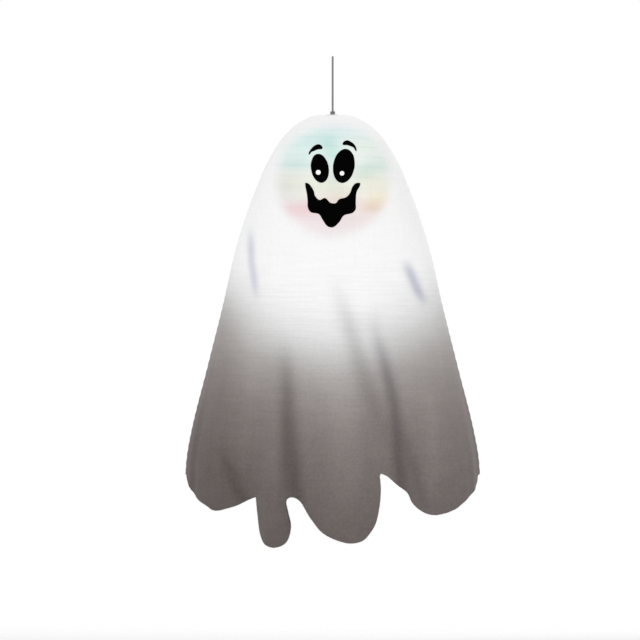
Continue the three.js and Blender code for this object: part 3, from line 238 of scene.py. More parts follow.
class Surface:
    """A Principled material with short calls for its textures, all on the piece's own coordinates."""

    def __init__(self, name, roughness=0.5, metallic=0.0, **sockets):
        self.material = bpy.data.materials.new(name)
        self.material.use_nodes = True
        self.tree = self.material.node_tree
        self.bsdf = self.tree.nodes["Principled BSDF"]
        for key, value in dict(Roughness=roughness, Metallic=metallic, **sockets).items():
            self.bsdf.inputs[key.replace("_", " ")].default_value = value
        self.place = add(self.tree, "TexCoord", {}).outputs["Object"]
        self.height = None

    def noise(self, scale, detail=3.0, roughness=0.55):
        """Cloudy noise from 0 to 1; a scale of three numbers stretches it."""
        inputs = {"Vector": self.place, "Scale": scale}
        if isinstance(scale, tuple):
            inputs = {"Vector": add(self.tree, "Mapping", inputs).outputs["Vector"], "Scale": 1.0}
        inputs.update(Detail=detail, Roughness=roughness)
        return add(self.tree, "TexNoise", inputs).outputs["Fac"]

    def wave(self, period, direction):
        inputs = {"Vector": self.place, "Scale": 0.314 / (period * MM)}
        return add(self.tree, "TexWave", inputs, bands_direction=direction).outputs["Fac"]

    def cell_edges(self, scale):
        inputs = {"Vector": self.place, "Scale": scale}
        cells = add(self.tree, "TexVoronoi", inputs, feature="DISTANCE_TO_EDGE")
        return cells.outputs["Distance"]

    def math(self, operation, a, b):
        return add(self.tree, "Math", {0: a, 1: b}, operation=operation).outputs[0]

    def spread(self, value, to_low, to_high, low=0.3, high=0.7, **settings):
        inputs = {"Value": value, "From Min": low, "From Max": high, "To Min": to_low, "To Max": to_high}
        return add(self.tree, "MapRange", inputs, **settings).outputs["Result"]

    def ramp(self, value, stops):
        """Display colours at stops along a value."""
        node = add(self.tree, "ValToRGB", {"Fac": value})
        elements = node.color_ramp.elements
        while len(elements) < len(stops):
            elements.new(0.5)
        for element, (place, colour) in zip(elements, stops):
            element.position = place
            element.color = rgba(colour)
        return node.outputs["Color"]

    def two_tone(self, value, rgb, dark, pale, low=0.3, high=0.7):
        """A display colour times one share and then another as the value rises."""
        rgb = np.array(rgb)
        return self.ramp(value, [(low, rgb * dark), (high, np.minimum(rgb * pale, 255))])

    def tone(self):
        """The colours painted at the piece's points: its own colour with painted light and shade in it."""
        return add(self.tree, "Attribute", {}, attribute_name="tone").outputs["Color"]

    def mix(self, factor, a, b, blend="MIX"):
        node = add(self.tree, "Mix", {}, data_type="RGBA", blend_type=blend)
        for index, value in ((0, factor), (6, a), (7, b)):
            plug(self.tree, node.inputs[index], value)
        return node.outputs[2]

    def colour(self, value):
        plug(self.tree, self.bsdf.inputs["Base Color"], value)

    def rough(self, value):
        plug(self.tree, self.bsdf.inputs["Roughness"], value)

    def bump(self, value, distance, strength=1.0):
        inputs = {"Height": value, "Distance": distance * MM, "Strength": strength}
        if self.height is not None:
            inputs["Normal"] = self.height
        self.height = add(self.tree, "Bump", inputs).outputs["Normal"]
        plug(self.tree, self.bsdf.inputs["Normal"], self.height)


def woven(surface, pitch, depth):
    """Plain weave of threads across and down the cloth."""
    down = surface.wave(pitch, "X")
    across = surface.wave(pitch, "Z")
    weave = surface.math("MULTIPLY", down, across)
    surface.bump(weave, depth, 0.6)
    return weave


def cover_cloth():
    s = Surface("cover_cloth", 0.92, Sheen_Weight=0.12, Sheen_Roughness=0.6, Specular_IOR_Level=0.15)
    weave = woven(s, 1.1, 0.12)
    slubs = s.noise((12, 12, 240), 4.0)
    warp = s.noise((420, 60, 9))
    lint = s.noise(190.0, 5.0, roughness=0.65)
    patches = s.noise(34.0, 4.0)
    height = add(s.tree, "SeparateXYZ", {0: s.place}).outputs["Z"]
    low = s.spread(height, 1.0, 0.15, -0.85, -0.5)
    middle = s.spread(height, 1.0, 0.25, -0.5, -0.38)
    shade = s.math("ADD", s.math("MULTIPLY", s.spread(slubs, -0.045, 0.035), middle), 1.0)
    shade = s.math("MULTIPLY", shade, s.spread(warp, 0.99, 1.01))
    grain = s.spread(lint, -0.15, 0.13, 0.25, 0.75)
    grain = s.math("ADD", grain, s.spread(patches, -0.035, 0.035))
    shade = s.math("MULTIPLY", shade, s.math("ADD", s.math("MULTIPLY", grain, low), 1.0))
    shade = s.math("MULTIPLY", shade, s.spread(weave, 0.985, 1.01, 0.0, 1.0))
    s.colour(s.mix(1.0, s.tone(), shade, "MULTIPLY"))
    s.bump(slubs, 0.15, 0.35)
    s.bump(s.noise(38.0), 1.2, 0.3)
    return s.material


def thin_nylon():
    s = Surface("lantern_nylon", 0.6, Sheen_Weight=0.2, Specular_IOR_Level=0.3)
    weave = woven(s, 0.7, 0.06)
    crinkle = s.noise((160, 160, 40), 4.0)
    shade = s.math("MULTIPLY", s.spread(weave, 0.97, 1.0, 0, 1), s.spread(crinkle, 0.96, 1.02))
    s.colour(s.mix(1.0, s.tone(), shade, "MULTIPLY"))
    s.bump(crinkle, 0.8, 0.5)
    return s.material


def felt(name, rgb, dark, pale):
    s = Surface(name, 0.95, Specular_IOR_Level=0.02)
    fibres = s.noise(900.0, 5.0, roughness=0.7)
    s.colour(s.two_tone(fibres, rgb, dark, pale))
    s.bump(fibres, 0.12, 0.5)
    return s.material


def thread(name, rgb, with_painted_shade=False):
    """Fibres of one colour; a thread with painted shade is also multiplied by the colours painted on its
    piece, which on the cord are painted shade in the braid's valleys.
    """
    s = Surface(name, 0.8, Sheen_Weight=0.2)
    fibres = s.noise(2600.0)
    colour = s.two_tone(fibres, rgb, 0.9, 1.06)
    s.colour(s.mix(1.0, colour, s.tone(), "MULTIPLY") if with_painted_shade else colour)
    s.bump(fibres, 0.05, 0.5)
    return s.material


def plastic(name, rgb, roughness, grain=0.05):
    """Moulded plastic: a fine spark-eroded grain, faint flow marks and slightly uneven gloss."""
    s = Surface(name, roughness, Specular_IOR_Level=0.45)
    fine = s.noise(1900.0, 4.0, roughness=0.7)
    s.colour(s.two_tone(s.noise(30.0), rgb, 0.96, 1.02))
    s.rough(s.spread(fine, roughness - 0.06, roughness + 0.08))
    s.bump(fine, grain, 0.4)
    return s.material


def metal(name, rgb, roughness, direction):
    """Drawn or brushed metal: fine lines, small dull spots."""
    s = Surface(name, roughness, 1.0)
    lines = s.noise(direction)
    s.colour(s.two_tone(s.noise(220.0, 4.0), rgb, 0.86, 1, 0.35, 0.6))
    s.rough(s.spread(lines, roughness - 0.08, roughness + 0.12))
    s.bump(lines, 0.02, 0.4)
    return s.material


def frosted():
    s = Surface("frosted_lens", 0.38, Transmission_Weight=0.45, IOR=1.46)
    s.colour(s.ramp(s.noise(60.0), [(0.3, (232, 238, 240)), (0.7, (246, 249, 249))]))
    s.bump(s.noise(1500.0, 4.0), 0.05, 0.5)
    return s.material


def circuit_board():
    """Green board with paler copper tracks under the lacquer, and faint darker patches."""
    s = Surface("circuit_board", 0.35, Specular_IOR_Level=0.5)
    tracks = s.cell_edges(150.0)
    paths = s.ramp(tracks, [(0.0, (64, 128, 84)), (0.035, (60, 122, 80)), (0.05, (38, 92, 58))])
    s.colour(s.mix(s.spread(s.noise(500.0), 0.0, 0.15, 0.4, 0.7), paths, rgba((24, 64, 40))))
    s.bump(tracks, 0.05, 0.5)
    return s.material


def glowing(name, rgb):
    """Tinted clear epoxy, lit from its middle."""
    lit = dict(Emission_Color=rgba(rgb), Emission_Strength=0.35)
    s = Surface(name, 0.15, Transmission_Weight=0.3, IOR=1.5, **lit)
    s.colour(s.two_tone(s.noise(300.0), rgb, 0.94, 1))
    return s.material


def cell_sleeve():
    """Shrunk plastic sleeve with a plain band and faint paler patches."""
    s = Surface("cell_sleeve", 0.3, Specular_IOR_Level=0.5)
    up = add(s.tree, "SeparateXYZ", {0: s.place}).outputs["Z"]
    colours = [(0.0, (44, 74, 120)), (0.62, (46, 78, 126)), (0.66, (196, 200, 204)), (0.72, (40, 70, 116))]
    bands = s.ramp(s.spread(up, 0.0, 1.0, -0.265, -0.21), colours)
    s.colour(s.mix(s.spread(s.noise(120.0), 0.0, 0.12), bands, rgba((150, 160, 175))))
    s.bump(s.noise((900, 900, 60)), 0.03, 0.4)
    return s.material


CLOTH = cover_cloth()
NYLON = thin_nylon()
BLACK = felt("face_black", (2, 2, 2), 0.5, 2)
WHITE = felt("face_white", (250, 250, 250), 0.98, 1.02)
HEM_THREAD = thread("hem_thread", (96, 88, 85))
CORD = thread("cord_grey", (135, 136, 137), with_painted_shade=True)
DARK = plastic("dark_plastic", (40, 40, 43), 0.42)
GREY = plastic("grey_plastic", (104, 108, 113), 0.5)
SHELL = plastic("white_plastic", (226, 226, 222), 0.42)
STEEL = metal("steel_wire", (196, 198, 200), 0.28, (60, 60, 2200))
NICKEL = metal("nickel", (206, 201, 188), 0.26, (900, 900, 900))
LENS = frosted()
BOARD = circuit_board()
SLEEVE = cell_sleeve()
LED_COLOURS = {
    "led_cyan": (150, 232, 238),
    "led_green": (166, 236, 178),
    "led_yellow": (248, 230, 140),
    "led_pink": (246, 160, 178),
    "led_violet": (196, 168, 234),
}

# Sizes shared with the CAD model
CORD_DIAMETER = 4.0
CORD_SPACING = 8.4
CORD_TOP_RADIUS = 10.0
CORD_SIDES = 24
CROWN_Z = -116.0
CROWN_FLAT_RADIUS = 33.0
COVER_LENGTH = 876.0
LANTERN_RADIUS, LANTERN_HALF_HEIGHT = 125.0, 132.0
CAD_CLOTH = 2  # thickness of the cover in the CAD model, and its distance from the lantern
COVER_RADIUS = LANTERN_RADIUS + 2 * CAD_CLOTH
COVER_HALF_HEIGHT = LANTERN_HALF_HEIGHT + 2 * CAD_CLOTH
HEAD_Z = CROWN_Z - COVER_HALF_HEIGHT * math.sqrt(1 - (CROWN_FLAT_RADIUS / COVER_RADIUS) ** 2)
HEM_Z = CROWN_Z - COVER_LENGTH
MOUTH_RADIUS = 38.0
SKIN_THICKNESS = 1.0
TOUCH = 0.3  # clearance between pieces that touch
RING_WIRE, RIB_WIRE, EXPANDER_WIRE, HOOK_WIRE = 1.25, 0.8, 1.2, 1.0  # radii
RING_DROP = LANTERN_HALF_HEIGHT * math.sqrt(1 - (MOUTH_RADIUS / LANTERN_RADIUS) ** 2)
RING_INSET = RING_WIRE + SKIN_THICKNESS + 0.6
UPPER_RING_Z = HEAD_Z + RING_DROP - RING_INSET
LOWER_RING_Z = HEAD_Z - RING_DROP + RING_INSET
BAR_Z = UPPER_RING_Z - RING_WIRE - TOUCH - EXPANDER_WIRE
FOOT_Z = LOWER_RING_Z + RING_WIRE + TOUCH + EXPANDER_WIRE
FLANGE = 1  # thickness of the grommet's flange and of the washer
COLLAR_TOP = CROWN_Z + TOUCH + FLANGE + TOUCH + 6
HUB_BOTTOM_Z = CROWN_Z - CAD_CLOTH - TOUCH - FLANGE - TOUCH - 11.5
CORD_END_Z = HUB_BOTTOM_Z + 1.5 + TOUCH
EYE_RADIUS = 2.5
HUB_EYE_Z = HUB_BOTTOM_Z - EYE_RADIUS - 1
HOOK_BEND = 4
HOOK_PIVOT_Z = HUB_EYE_Z - EYE_RADIUS + HOOK_WIRE + 0.75
LAMP_Z = HOOK_PIVOT_Z - 61


def between(stations):
    """The smooth curve through stations that the CAD model uses."""
    places = np.array([p for p, _ in stations], float)
    values = np.array([v for _, v in stations], float)

    def at(place):
        place = np.clip(np.asarray(place, float), places[0], places[-1])
        i1 = np.clip(np.searchsorted(places, place, side="right"), 1, len(places) - 1)
        i0 = i1 - 1
        before = np.where(i0 > 0, i0 - 1, i1)
        after = np.where(i1 + 1 < len(places), np.minimum(i1 + 1, len(places) - 1), i0)
        half = (places[i1] - places[i0]) / 2
        wp = half / (places[i0] - places[before])
        wn = half / (places[after] - places[i1])
        p = (place - places[i0]) / (places[i1] - places[i0])
        sp = -wp * p**3 + 2 * wp * p**2 - wp * p
        s0 = (1 + wp) * p**3 + (-1.5 - 2 * wp) * p**2 + (-0.5 + wp) * p + 1
        s1 = (-1 - wn) * p**3 + (1.5 + wn) * p**2 + 0.5 * p
        sn = wn * p**3 - wn * p**2
        return sp * values[before] + s0 * values[i0] + s1 * values[i1] + sn * values[after]

    return at


side_spread = between([
    (-95, 0), (-60, 2.5), (-31, 9), (0, 19.5), (56, 41), (138, 67), (251, 93), (381, 125.5), (511, 158),
    (576, 168.5), (800, 168.5),
])
depth_spread = between([(0, 0), (200, 5), (400, 16), (600, 24), (800, 24)])
fold_across = between([
    (-1, 0), (-0.8, 0.75), (-0.54, -0.8), (-0.41, 0.95), (-0.27, -0.85), (0.04, 1), (0.31, -0.9),
    (0.69, 0.85), (1, 0),
])
FOLD_DEPTH, FOLD_START = 21.0, 262.0


def smoothstep(x, low, high):
    t = np.clip((np.asarray(x, float) - low) / (high - low), 0, 1)
    return t * t * (3 - 2 * t)


# Cover surface. Theta runs from -90 degrees at the left seam to 90 degrees at the right seam, and its sine
# is the share of the half width. V is the length down the middle of a panel from the hole in its crown.
HOLE_RADIUS = 8.0
PANEL_GAP = 0.15
CROWN_ROUNDING = 1.2
CLOTH_THICKNESS = 0.8
LOWEST_HEM = 14  # how far the surface runs on below the lowest lobe
SEAM_PUCKER = 0.8

ring = np.linspace(HOLE_RADIUS, 0.93 * COVER_RADIUS, 110)
ball = HEAD_Z + COVER_HALF_HEIGHT * np.sqrt(1 - (ring / COVER_RADIUS) ** 2)
crown = -CROWN_ROUNDING * np.logaddexp(-ball / CROWN_ROUNDING, -CROWN_Z / CROWN_ROUNDING)
skirt = np.arange(crown[-1] - 2, HEM_Z - LOWEST_HEM, -2)
up = np.maximum(0, skirt - HEAD_Z) / COVER_HALF_HEIGHT
round_head = np.concatenate([ring, COVER_RADIUS * np.sqrt(np.maximum(0, 1 - up * up))])
LEVELS = np.concatenate([crown, skirt])
WIDTHS = round_head + side_spread(HEAD_Z - LEVELS)  # half widths and half depths
DEPTHS = round_head + depth_spread(HEAD_Z - LEVELS)
RUNS = lengths_along(np.stack([DEPTHS, LEVELS], 1))
QUARTERS = math.pi / 2 * np.sqrt((WIDTHS**2 + DEPTHS**2) / 2)


def run_at(z):
    return np.interp(-np.asarray(z), -LEVELS, RUNS)


def width_at(z):
    return np.interp(-np.asarray(z), -LEVELS, WIDTHS)


def bare_cover(theta, v, side):
    """Points of the cover's surface with its large folds, but without dents and ripples."""
    z, width, depth = (np.interp(v, RUNS, values) for values in (LEVELS, WIDTHS, DEPTHS))
    across = np.sin(theta)
    fold = FOLD_DEPTH * smoothstep(HEAD_Z - z, FOLD_START, HEAD_Z - HEM_Z) * fold_across(across)
    out = depth * np.cos(theta) + fold + PANEL_GAP
    return np.stack([width * across, side * out, z], -1)


def cover_normal(theta, v, side):
    theta = np.clip(theta, -1.5, 1.5)
    v = np.clip(v, 1.5, RUNS[-1] - 1.5)
    sideways = bare_cover(theta + 0.01, v, side) - bare_cover(theta - 0.01, v, side)
    down = bare_cover(theta, v + 1.5, side) - bare_cover(theta, v - 1.5, side)
    normal = side * np.cross(sideways, down)
    return normal / np.linalg.norm(normal, axis=-1)[..., None]


def pixels(*points):
    """Millimetres [x, z] of places given in pixels of the photograph."""
    return np.array([((px - PHOTO_X) * PIXEL, (PHOTO_Y - py) * PIXEL) for px, py in points])


# Creases and fold lines: route and half width in pixels of the photograph, depth in millimetres, by what
# share the cloth is painted darker along it as shade in the crease (painted lighter below zero, as light on
# a ridge), and how bluish that painted shade is there
FOLD_LINES = [
    ([(250, 230), (251, 262), (254, 283), (256, 297)], 3.8, 3.2, 0.115, 0.8),
    ([(406, 262), (410, 273), (415, 285), (423, 302)], 5.2, 4.0, 0.17, 0.95),
    ([(337, 288), (347, 320), (355, 350), (365, 380), (373, 405), (382, 442)], 9.5, 1.8, 0.105, 0.0),
    ([(374, 327), (379, 345), (384, 364), (390, 388), (394, 410), (396, 440), (400, 480), (403, 525)],
     6.8, 3.6, 0.205, 0.2),
    ([(284, 350), (286, 374), (287, 405), (289, 435), (292, 465), (298, 525)], 8.8, 3.2, 0.195, 0.0),
    ([(401, 425), (409, 452), (417, 485), (424, 508)], 6.5, 2.2, 0.085, 0.2),
    ([(221, 450), (228, 465), (236, 485), (247, 508)], 7.5, 1.8, 0.13, 0.0),
    ([(424, 380), (431, 410), (433, 450), (430, 530)], 9.0, -1.8, -0.055, 0.0),
    ([(250, 330), (251, 380), (250, 430), (247, 470)], 11.0, -1.8, -0.035, 0.0),
    ([(336, 370), (340, 400), (345, 440), (349, 500)], 16.0, -2.6, -0.05, 0.0),
    ([(228, 300), (224, 350), (222, 400), (224, 450)], 7.0, 1.2, 0.02, 0.0),
]
CREASE_SHADE_BLUE = np.array([-5, -3, 9])


def along_line(x, z, route, half_width):
    """Weight from 0 to 1 of points near a line that runs downwards, fading at both ends."""
    line = pixels(*route)
    middle = np.interp(-z, -line[:, 1], line[:, 0])
    top, bottom = line[0, 1], line[-1, 1]
    fade = 0.3 * (top - bottom)
    ends = smoothstep(-z, -top - fade / 2, -top + fade)
    ends = ends * (1 - smoothstep(-z, -bottom - fade, -bottom + fade / 2))
    return np.exp(-(((x - middle) / (half_width * PIXEL)) ** 2)) * ends


# Ribs of the lantern, which show through the head as faint raised turns and as painted shadow lines across
# the glow
RIB_TURNS = 14
RIB_START = math.asin(51 / LANTERN_RADIUS)


def rib_turn(point):
    """How many turns of the rib spiral lie above a point, counted at the point's own side."""
    angle = np.arccos(np.clip((point[..., 2] - HEAD_Z) / LANTERN_HALF_HEIGHT, -1, 1))
    turns = (angle - RIB_START) / (math.pi - 2 * RIB_START) * RIB_TURNS
    return turns - np.arctan2(point[..., 1], point[..., 0]) / (2 * math.pi)


RIPPLES = [(17, 1.1, 1, 1), (29, 0.4, -1.6, 0.7), (47, 2.2, 2.3, 0.5)]  # count, start, drift and height


def dents(point, theta, side):
    """How far the cloth stands out of its bare surface. The back mirrors the folds of the front."""
    x, z = point[..., 0], point[..., 2]
    out = 0.0
    for route, half_width, depth, _, _ in FOLD_LINES:
        out = out - depth * along_line(-side * x, z, route, half_width)
    on_lantern = smoothstep(-z, 128, 165) * (1 - smoothstep(-z, 300, 350))
    out = out + 0.45 * np.cos(2 * math.pi * rib_turn(point)) * on_lantern
    hang = smoothstep(-z, 330, 900)
    drift = 0.0022 * (z + 330)
    waves = sum(high * np.sin(count * theta + start + lead * drift) for count, start, lead, high in RIPPLES)
    out = out + 1.15 * hang * waves
    buckle = np.sin(z / 21 + 2.4 * np.sin(5 * theta)) * np.sin(11 * theta + z / 90)
    return out + 0.35 * smoothstep(-z, 380, 560) * buckle


def cover_point(theta, v, side, lift=0.0):
    bare = bare_cover(theta, v, side)
    out = dents(bare, theta, side) + lift
    seam = 1 - smoothstep(np.abs(theta), 1.45, 1.565)
    pucker = 0.5 + 0.5 * np.sin(v / 2.7 + 1.3 * np.sin(v / 37))
    drawn_in = SEAM_PUCKER * pucker * smoothstep(np.abs(theta), 1.25, 1.5) * smoothstep(v, 60, 200)
    bare = bare - np.sign(theta)[..., None] * drawn_in[..., None] * np.array([1, 0, 0])
    return bare + cover_normal(theta, v, side) * (out * seam + lift * (1 - seam))[..., None]


# Colour of the cloth: white over the head, then grey and last grey-brown towards the hem, partly the cloth's
# own colour and partly painted falloff of the glow from the lamp inside. FADE has the level at a distance
# below the face in pixels, the other two lists how much sooner the painted falloff darkens at each seam.
FADE = [
    (110, 250), (120, 248.5), (130, 245), (140, 240), (150, 234), (165, 219), (180, 197), (200, 166),
    (220, 147), (250, 128), (280, 117), (310, 110), (345, 101), (380, 95), (450, 88),
]
LEFT_FADE = [(130, 42), (165, 34), (200, 36), (250, 50), (300, 60)]
RIGHT_FADE = [(110, 48), (130, 42), (150, 36), (180, 30), (200, 29), (220, 26), (250, 24), (310, 22)]
# Middle x and y, half width and half height in pixels of the photograph, and the change of colour that the
# light inside makes there
TINTS = [
    (333, 121, 26, 7, -4, -8, -3), (333, 133, 44, 10, -22, -8, -9), (300, 148, 30, 11, -24, -7, -10),
    (368, 148, 26, 13, -13, -5, -13), (333, 160, 15, 16, -18, -4, -10), (328, 143, 11, 9, -24, -12, -13),
    (333, 156, 8, 9, -14, -7, -8), (311, 140, 12, 6, -10, -4, -4), (334, 178, 8, 9, -14, -12, -9),
    (361, 173, 12, 8, -19, -11, -15), (338, 194, 20, 7, -8, -12, -16), (304, 199, 12, 10, -6, -4, -7),
    (296, 164, 22, 8, -30, -13, -15), (378, 166, 20, 9, -26, -12, -18), (300, 181, 34, 13, -10, -9, -17),
    (333, 186, 30, 10, -7, -5, -14), (376, 184, 22, 12, -8, -9, -22), (380, 198, 15, 7, -3, -8, -24),
    (338, 202, 22, 7, -7, -18, -26), (285, 190, 14, 16, -12, -13, -14), (300, 209, 24, 9, -6, -30, -27),
    (373, 207, 14, 7, -10, -26, -38), (318, 222, 30, 12, -6, -16, -14), (355, 218, 26, 12, -9, -18, -19),
    (333, 236, 28, 10, -5, -9, -8),
]
GLOW_MIDDLE, GLOW_RADIUS = (332.6, 181), 62
WARM = np.array([6.2, -1.7, -4.8])


def cover_colour_and_painted_light(point, side):
    """Linear colour of the cloth at its points, with painted light in it: the glow of the lamp inside and
    its falloff, painted shade and light along the folds, and painted shadows of the ribs.
    """
    x, z = point[..., 0], point[..., 2]
    px = -side * x / PIXEL + PHOTO_X
    py = PHOTO_Y - z / PIXEL
    # The level falls off below the face and sooner towards each seam: partly the cloth's own grey-brown,
    # partly painted falloff of the glow from the lamp inside
    down = py - 180
    aside = px - 332
    left = (np.maximum(-aside, 0) / 92) ** 1.9 * np.interp(down, *zip(*LEFT_FADE))
    right = (np.maximum(aside, 0) / 108) ** 1.6 * np.interp(down, *zip(*RIGHT_FADE))
    level = np.interp(down + left + right, *zip(*FADE))
    warmth = WARM * smoothstep(250 - level, 20, 130)[..., None]
    crease_shade_blue = 0.0
    # Painted shade along the creases, with a bluish cast, and painted light along the ridges whose share is
    # below zero
    for route, half_width, _, share, bluish in FOLD_LINES:
        weight = along_line(-side * x, z, route, half_width)
        level = level * (1 - share * weight)
        crease_shade_blue = crease_shade_blue + bluish * weight
    rgb = level[..., None] + warmth + CREASE_SHADE_BLUE * np.asarray(crease_shade_blue)[..., None]
    # On the front, painted light: the coloured glow of the lamp inside, and painted shadows of the lantern's
    # ribs across it
    if side < 0:
        reach = np.hypot(px - GLOW_MIDDLE[0], py - GLOW_MIDDLE[1]) / GLOW_RADIUS
        inside = 1 - smoothstep(reach, 0.8, 1.06)
        for mx, my, half_x, half_y, *change in TINTS:
            weight = inside * np.exp(-(((px - mx) / half_x) ** 2) - ((py - my) / half_y) ** 2)
            rgb = rgb + np.array(change) * weight[..., None]
        turn = rib_turn(point)
        line = np.exp(-(((turn - np.round(turn)) / 0.09) ** 2)) * inside
        rgb = rgb - (line * (1 - 0.7 * smoothstep(py, 165, 195)))[..., None] * np.array([8, 5, 5])
    return linear(np.clip(rgb, 0, 250))


def paint(piece, colours):
    layer = piece.data.color_attributes.new("tone", "FLOAT_COLOR", "POINT")
    colours = np.column_stack([colours, np.ones(len(colours))])
    layer.data.foreach_set("color", colours.astype(np.float32).ravel())


# Hem of a panel as it hangs, in millimetres [x, z], one list for each stretch between corners
HEM = [
    [
        (-297.3, -843), (-293.5, -857), (-285.5, -877), (-270, -897), (-255, -907), (-243.5, -915.5),
        (-231, -916.8), (-215, -913), (-195, -907), (-171, -895.5), (-157, -889),
    ],
    [
        (-156, -891), (-153, -922), (-146.5, -964), (-135, -986), (-115, -991.5), (-94.5, -981.5),
        (-85.5, -954), (-91, -924), (-95, -903), (-92, -894), (-81, -890), (-66, -898), (-46, -932),
        (-21, -961), (10, -977), (39, -983), (65, -974.5), (84.5, -950), (94, -912), (97, -873), (95, -847),
    ],
    [
        (97, -842), (109, -846.5), (131, -865.5), (152, -882), (162, -902), (180, -918), (204, -926),
        (231, -921), (252, -912.5), (278.5, -887), (292, -866), (297.3, -843),
    ],
]
HEM_STEP = 2.4
HEM_WINDING, HEM_WINDING_RADIUS, HEM_THREAD_RADIUS = 2.6, 0.95, 0.42  # one turn along the hem, and radii
WINDING_POINTS = 6
STITCH, STITCH_INSET = 3.6, 3.4


def hem_in_plan():
    """The hem as [theta, v] from the left seam to the right seam."""
    line = np.vstack([smooth_line(stretch, HEM_STEP) for stretch in HEM])
    share = np.clip(line[:, 0] / width_at(line[:, 1]), -1, 1)
    share[0], share[-1] = -1, 1
    return np.stack([np.arcsin(share), run_at(line[:, 1])], 1)


def fill(outline, inner):
    """Triangles over a closed outline, given in the plane with points inside it."""
    count = len(outline)
    places = [tuple(map(float, p)) for p in np.vstack([outline, inner])]
    edges = [(i, (i + 1) % count) for i in range(count)]
    points, _, faces, *_ = delaunay_2d_cdt(places, edges, [list(range(count))], 1, 1e-6)
    return np.array([tuple(p) for p in points]), [list(f) for f in faces]


def inside(points, outline):
    """Which points lie inside a closed outline."""
    found = np.zeros(len(points), bool)
    x, y = points.T
    for (x0, y0), (x1, y1) in zip(outline, np.roll(outline, -1, 0)):
        if y0 != y1:
            found ^= ((y0 > y) != (y1 > y)) & (x < (x1 - x0) * (y - y0) / (y1 - y0) + x0)
    return found


def gap_to(points, outline):
    """Distance of each point from the nearest of the outline's points."""
    tree = KDTree(len(outline))
    for i, (x, y) in enumerate(outline):
        tree.insert((x, y, 0), i)
    tree.balance()
    return np.array([tree.find((x, y, 0))[2] for x, y in points])


def thickened(outer, inner, faces):
    """Points and faces of a closed sheet from its two sides' points and its outer side's faces."""
    count = len(outer)
    edges = dict.fromkeys(edge for face in faces for edge in zip(face, face[1:] + face[:1]))
    back = [[v + count for v in reversed(face)] for face in faces]
    wall = [[b, a, a + count, b + count] for a, b in edges if (b, a) not in edges]
    return np.vstack([outer, inner]), faces + back + wall


def panel_grid(outline, head_step, skirt_step):
    """Points inside a panel's flat pattern [along the row, v]: closer rows over the head."""
    rows = []
    v = 0.0
    while v < RUNS[-1]:
        over_head = np.interp(v, RUNS, LEVELS) > -390
        step = head_step * 1.3 if over_head else skirt_step
        v += head_step * 0.75 if over_head else skirt_step * 0.87
        reach = np.interp(v, RUNS, QUARTERS)
        count = max(2, int(round(2 * reach / step)))
        shift = 0.25 if len(rows) % 2 else 0.75
        places = (np.arange(count) + shift) / count * 2 * reach - reach
        rows.append(np.stack([places, np.full(count, v)], 1))
    grid = np.vstack(rows)
    grid = grid[inside(grid, outline)]
    return grid[gap_to(grid, outline) > 0.55 * head_step]


def cover_panel(word, side, head_step, skirt_step):
    """One panel, meshed with points some step apart over the head and over the skirt."""
    hem = hem_in_plan()
    hem = np.stack([hem[:, 0] / (math.pi / 2) * np.interp(hem[:, 1], RUNS, QUARTERS), hem[:, 1]], 1)
    seam_v = np.arange(0, hem[0, 1], 4.0)[:-1]
    seam = np.stack([np.interp(seam_v, RUNS, QUARTERS), seam_v], 1)
    top_s = np.linspace(-QUARTERS[0], QUARTERS[0], 17)[1:-1]
    top = np.stack([top_s, np.zeros(len(top_s))], 1)
    outline = np.vstack([top, seam, hem[::-1], (seam * [-1, 1])[::-1]])
    flat, faces = fill(outline, panel_grid(outline, head_step, skirt_step))
    theta = np.clip(flat[:, 0] / np.interp(flat[:, 1], RUNS, QUARTERS), -1, 1) * math.pi / 2
    outer = cover_point(theta, flat[:, 1], side)
    inner = outer - cover_normal(theta, flat[:, 1], side) * CLOTH_THICKNESS
    inner[:, 1] = side * np.maximum(side * inner[:, 1], 0.05)
    if side < 0:
        faces = [f[::-1] for f in faces]
    points, faces = thickened(outer, inner, faces)
    panel = make("cover_" + word, points, faces, CLOTH, f"ghost_{word}_panel")
    tones = cover_colour_and_painted_light(outer, side)
    paint(panel, np.vstack([tones, tones * 0.97]))
    sharpen(panel, 40)
    return panel


def hem_thread(word, side):
    """A thread wound round the hem."""
    hem = hem_in_plan()
    line = cover_point(hem[:, 0], hem[:, 1], side)
    line = line - cover_normal(hem[:, 0], hem[:, 1], side) * CLOTH_THICKNESS / 2
    length = lengths_along(line)[-1]
    count = int(length / HEM_WINDING * WINDING_POINTS)
    path = at_lengths(line, np.linspace(0, length, count))
    first, second = square_to(path)
    turn = 2 * math.pi * np.arange(count)[:, None] / WINDING_POINTS
    wound = path + HEM_WINDING_RADIUS * (first * np.cos(turn) + second * np.sin(turn))
    return tube("hem_thread_" + word, wound, HEM_THREAD_RADIUS, HEM_THREAD, sides=4, slot="cover_cloth")


def seam_stitches(word, side, hand):
    """Stitches down a side seam, on one panel: one thread that swells out of the cloth."""
    v = np.arange(6, hem_in_plan()[0, 1] - 3, 4.0)
    theta = hand * (math.pi / 2 - STITCH_INSET / np.interp(v, RUNS, QUARTERS) * math.pi / 2)
    line = cover_point(theta, v, side, 0.05)
    places = np.arange(0, lengths_along(line)[-1], STITCH / 4)
    radius = 0.1 + 0.28 * np.abs(np.sin(math.pi * places / STITCH)) ** 0.6
    name = f"seam_stitches_{word}_{'left' if hand < 0 else 'right'}"
    piece = tube(name, at_lengths(line, places), radius[:, None], CLOTH, sides=5)
    points = np.array([v.co[:] for v in piece.data.vertices]) / MM
    paint(piece, cover_colour_and_painted_light(points, side) * 0.93)
    return piece


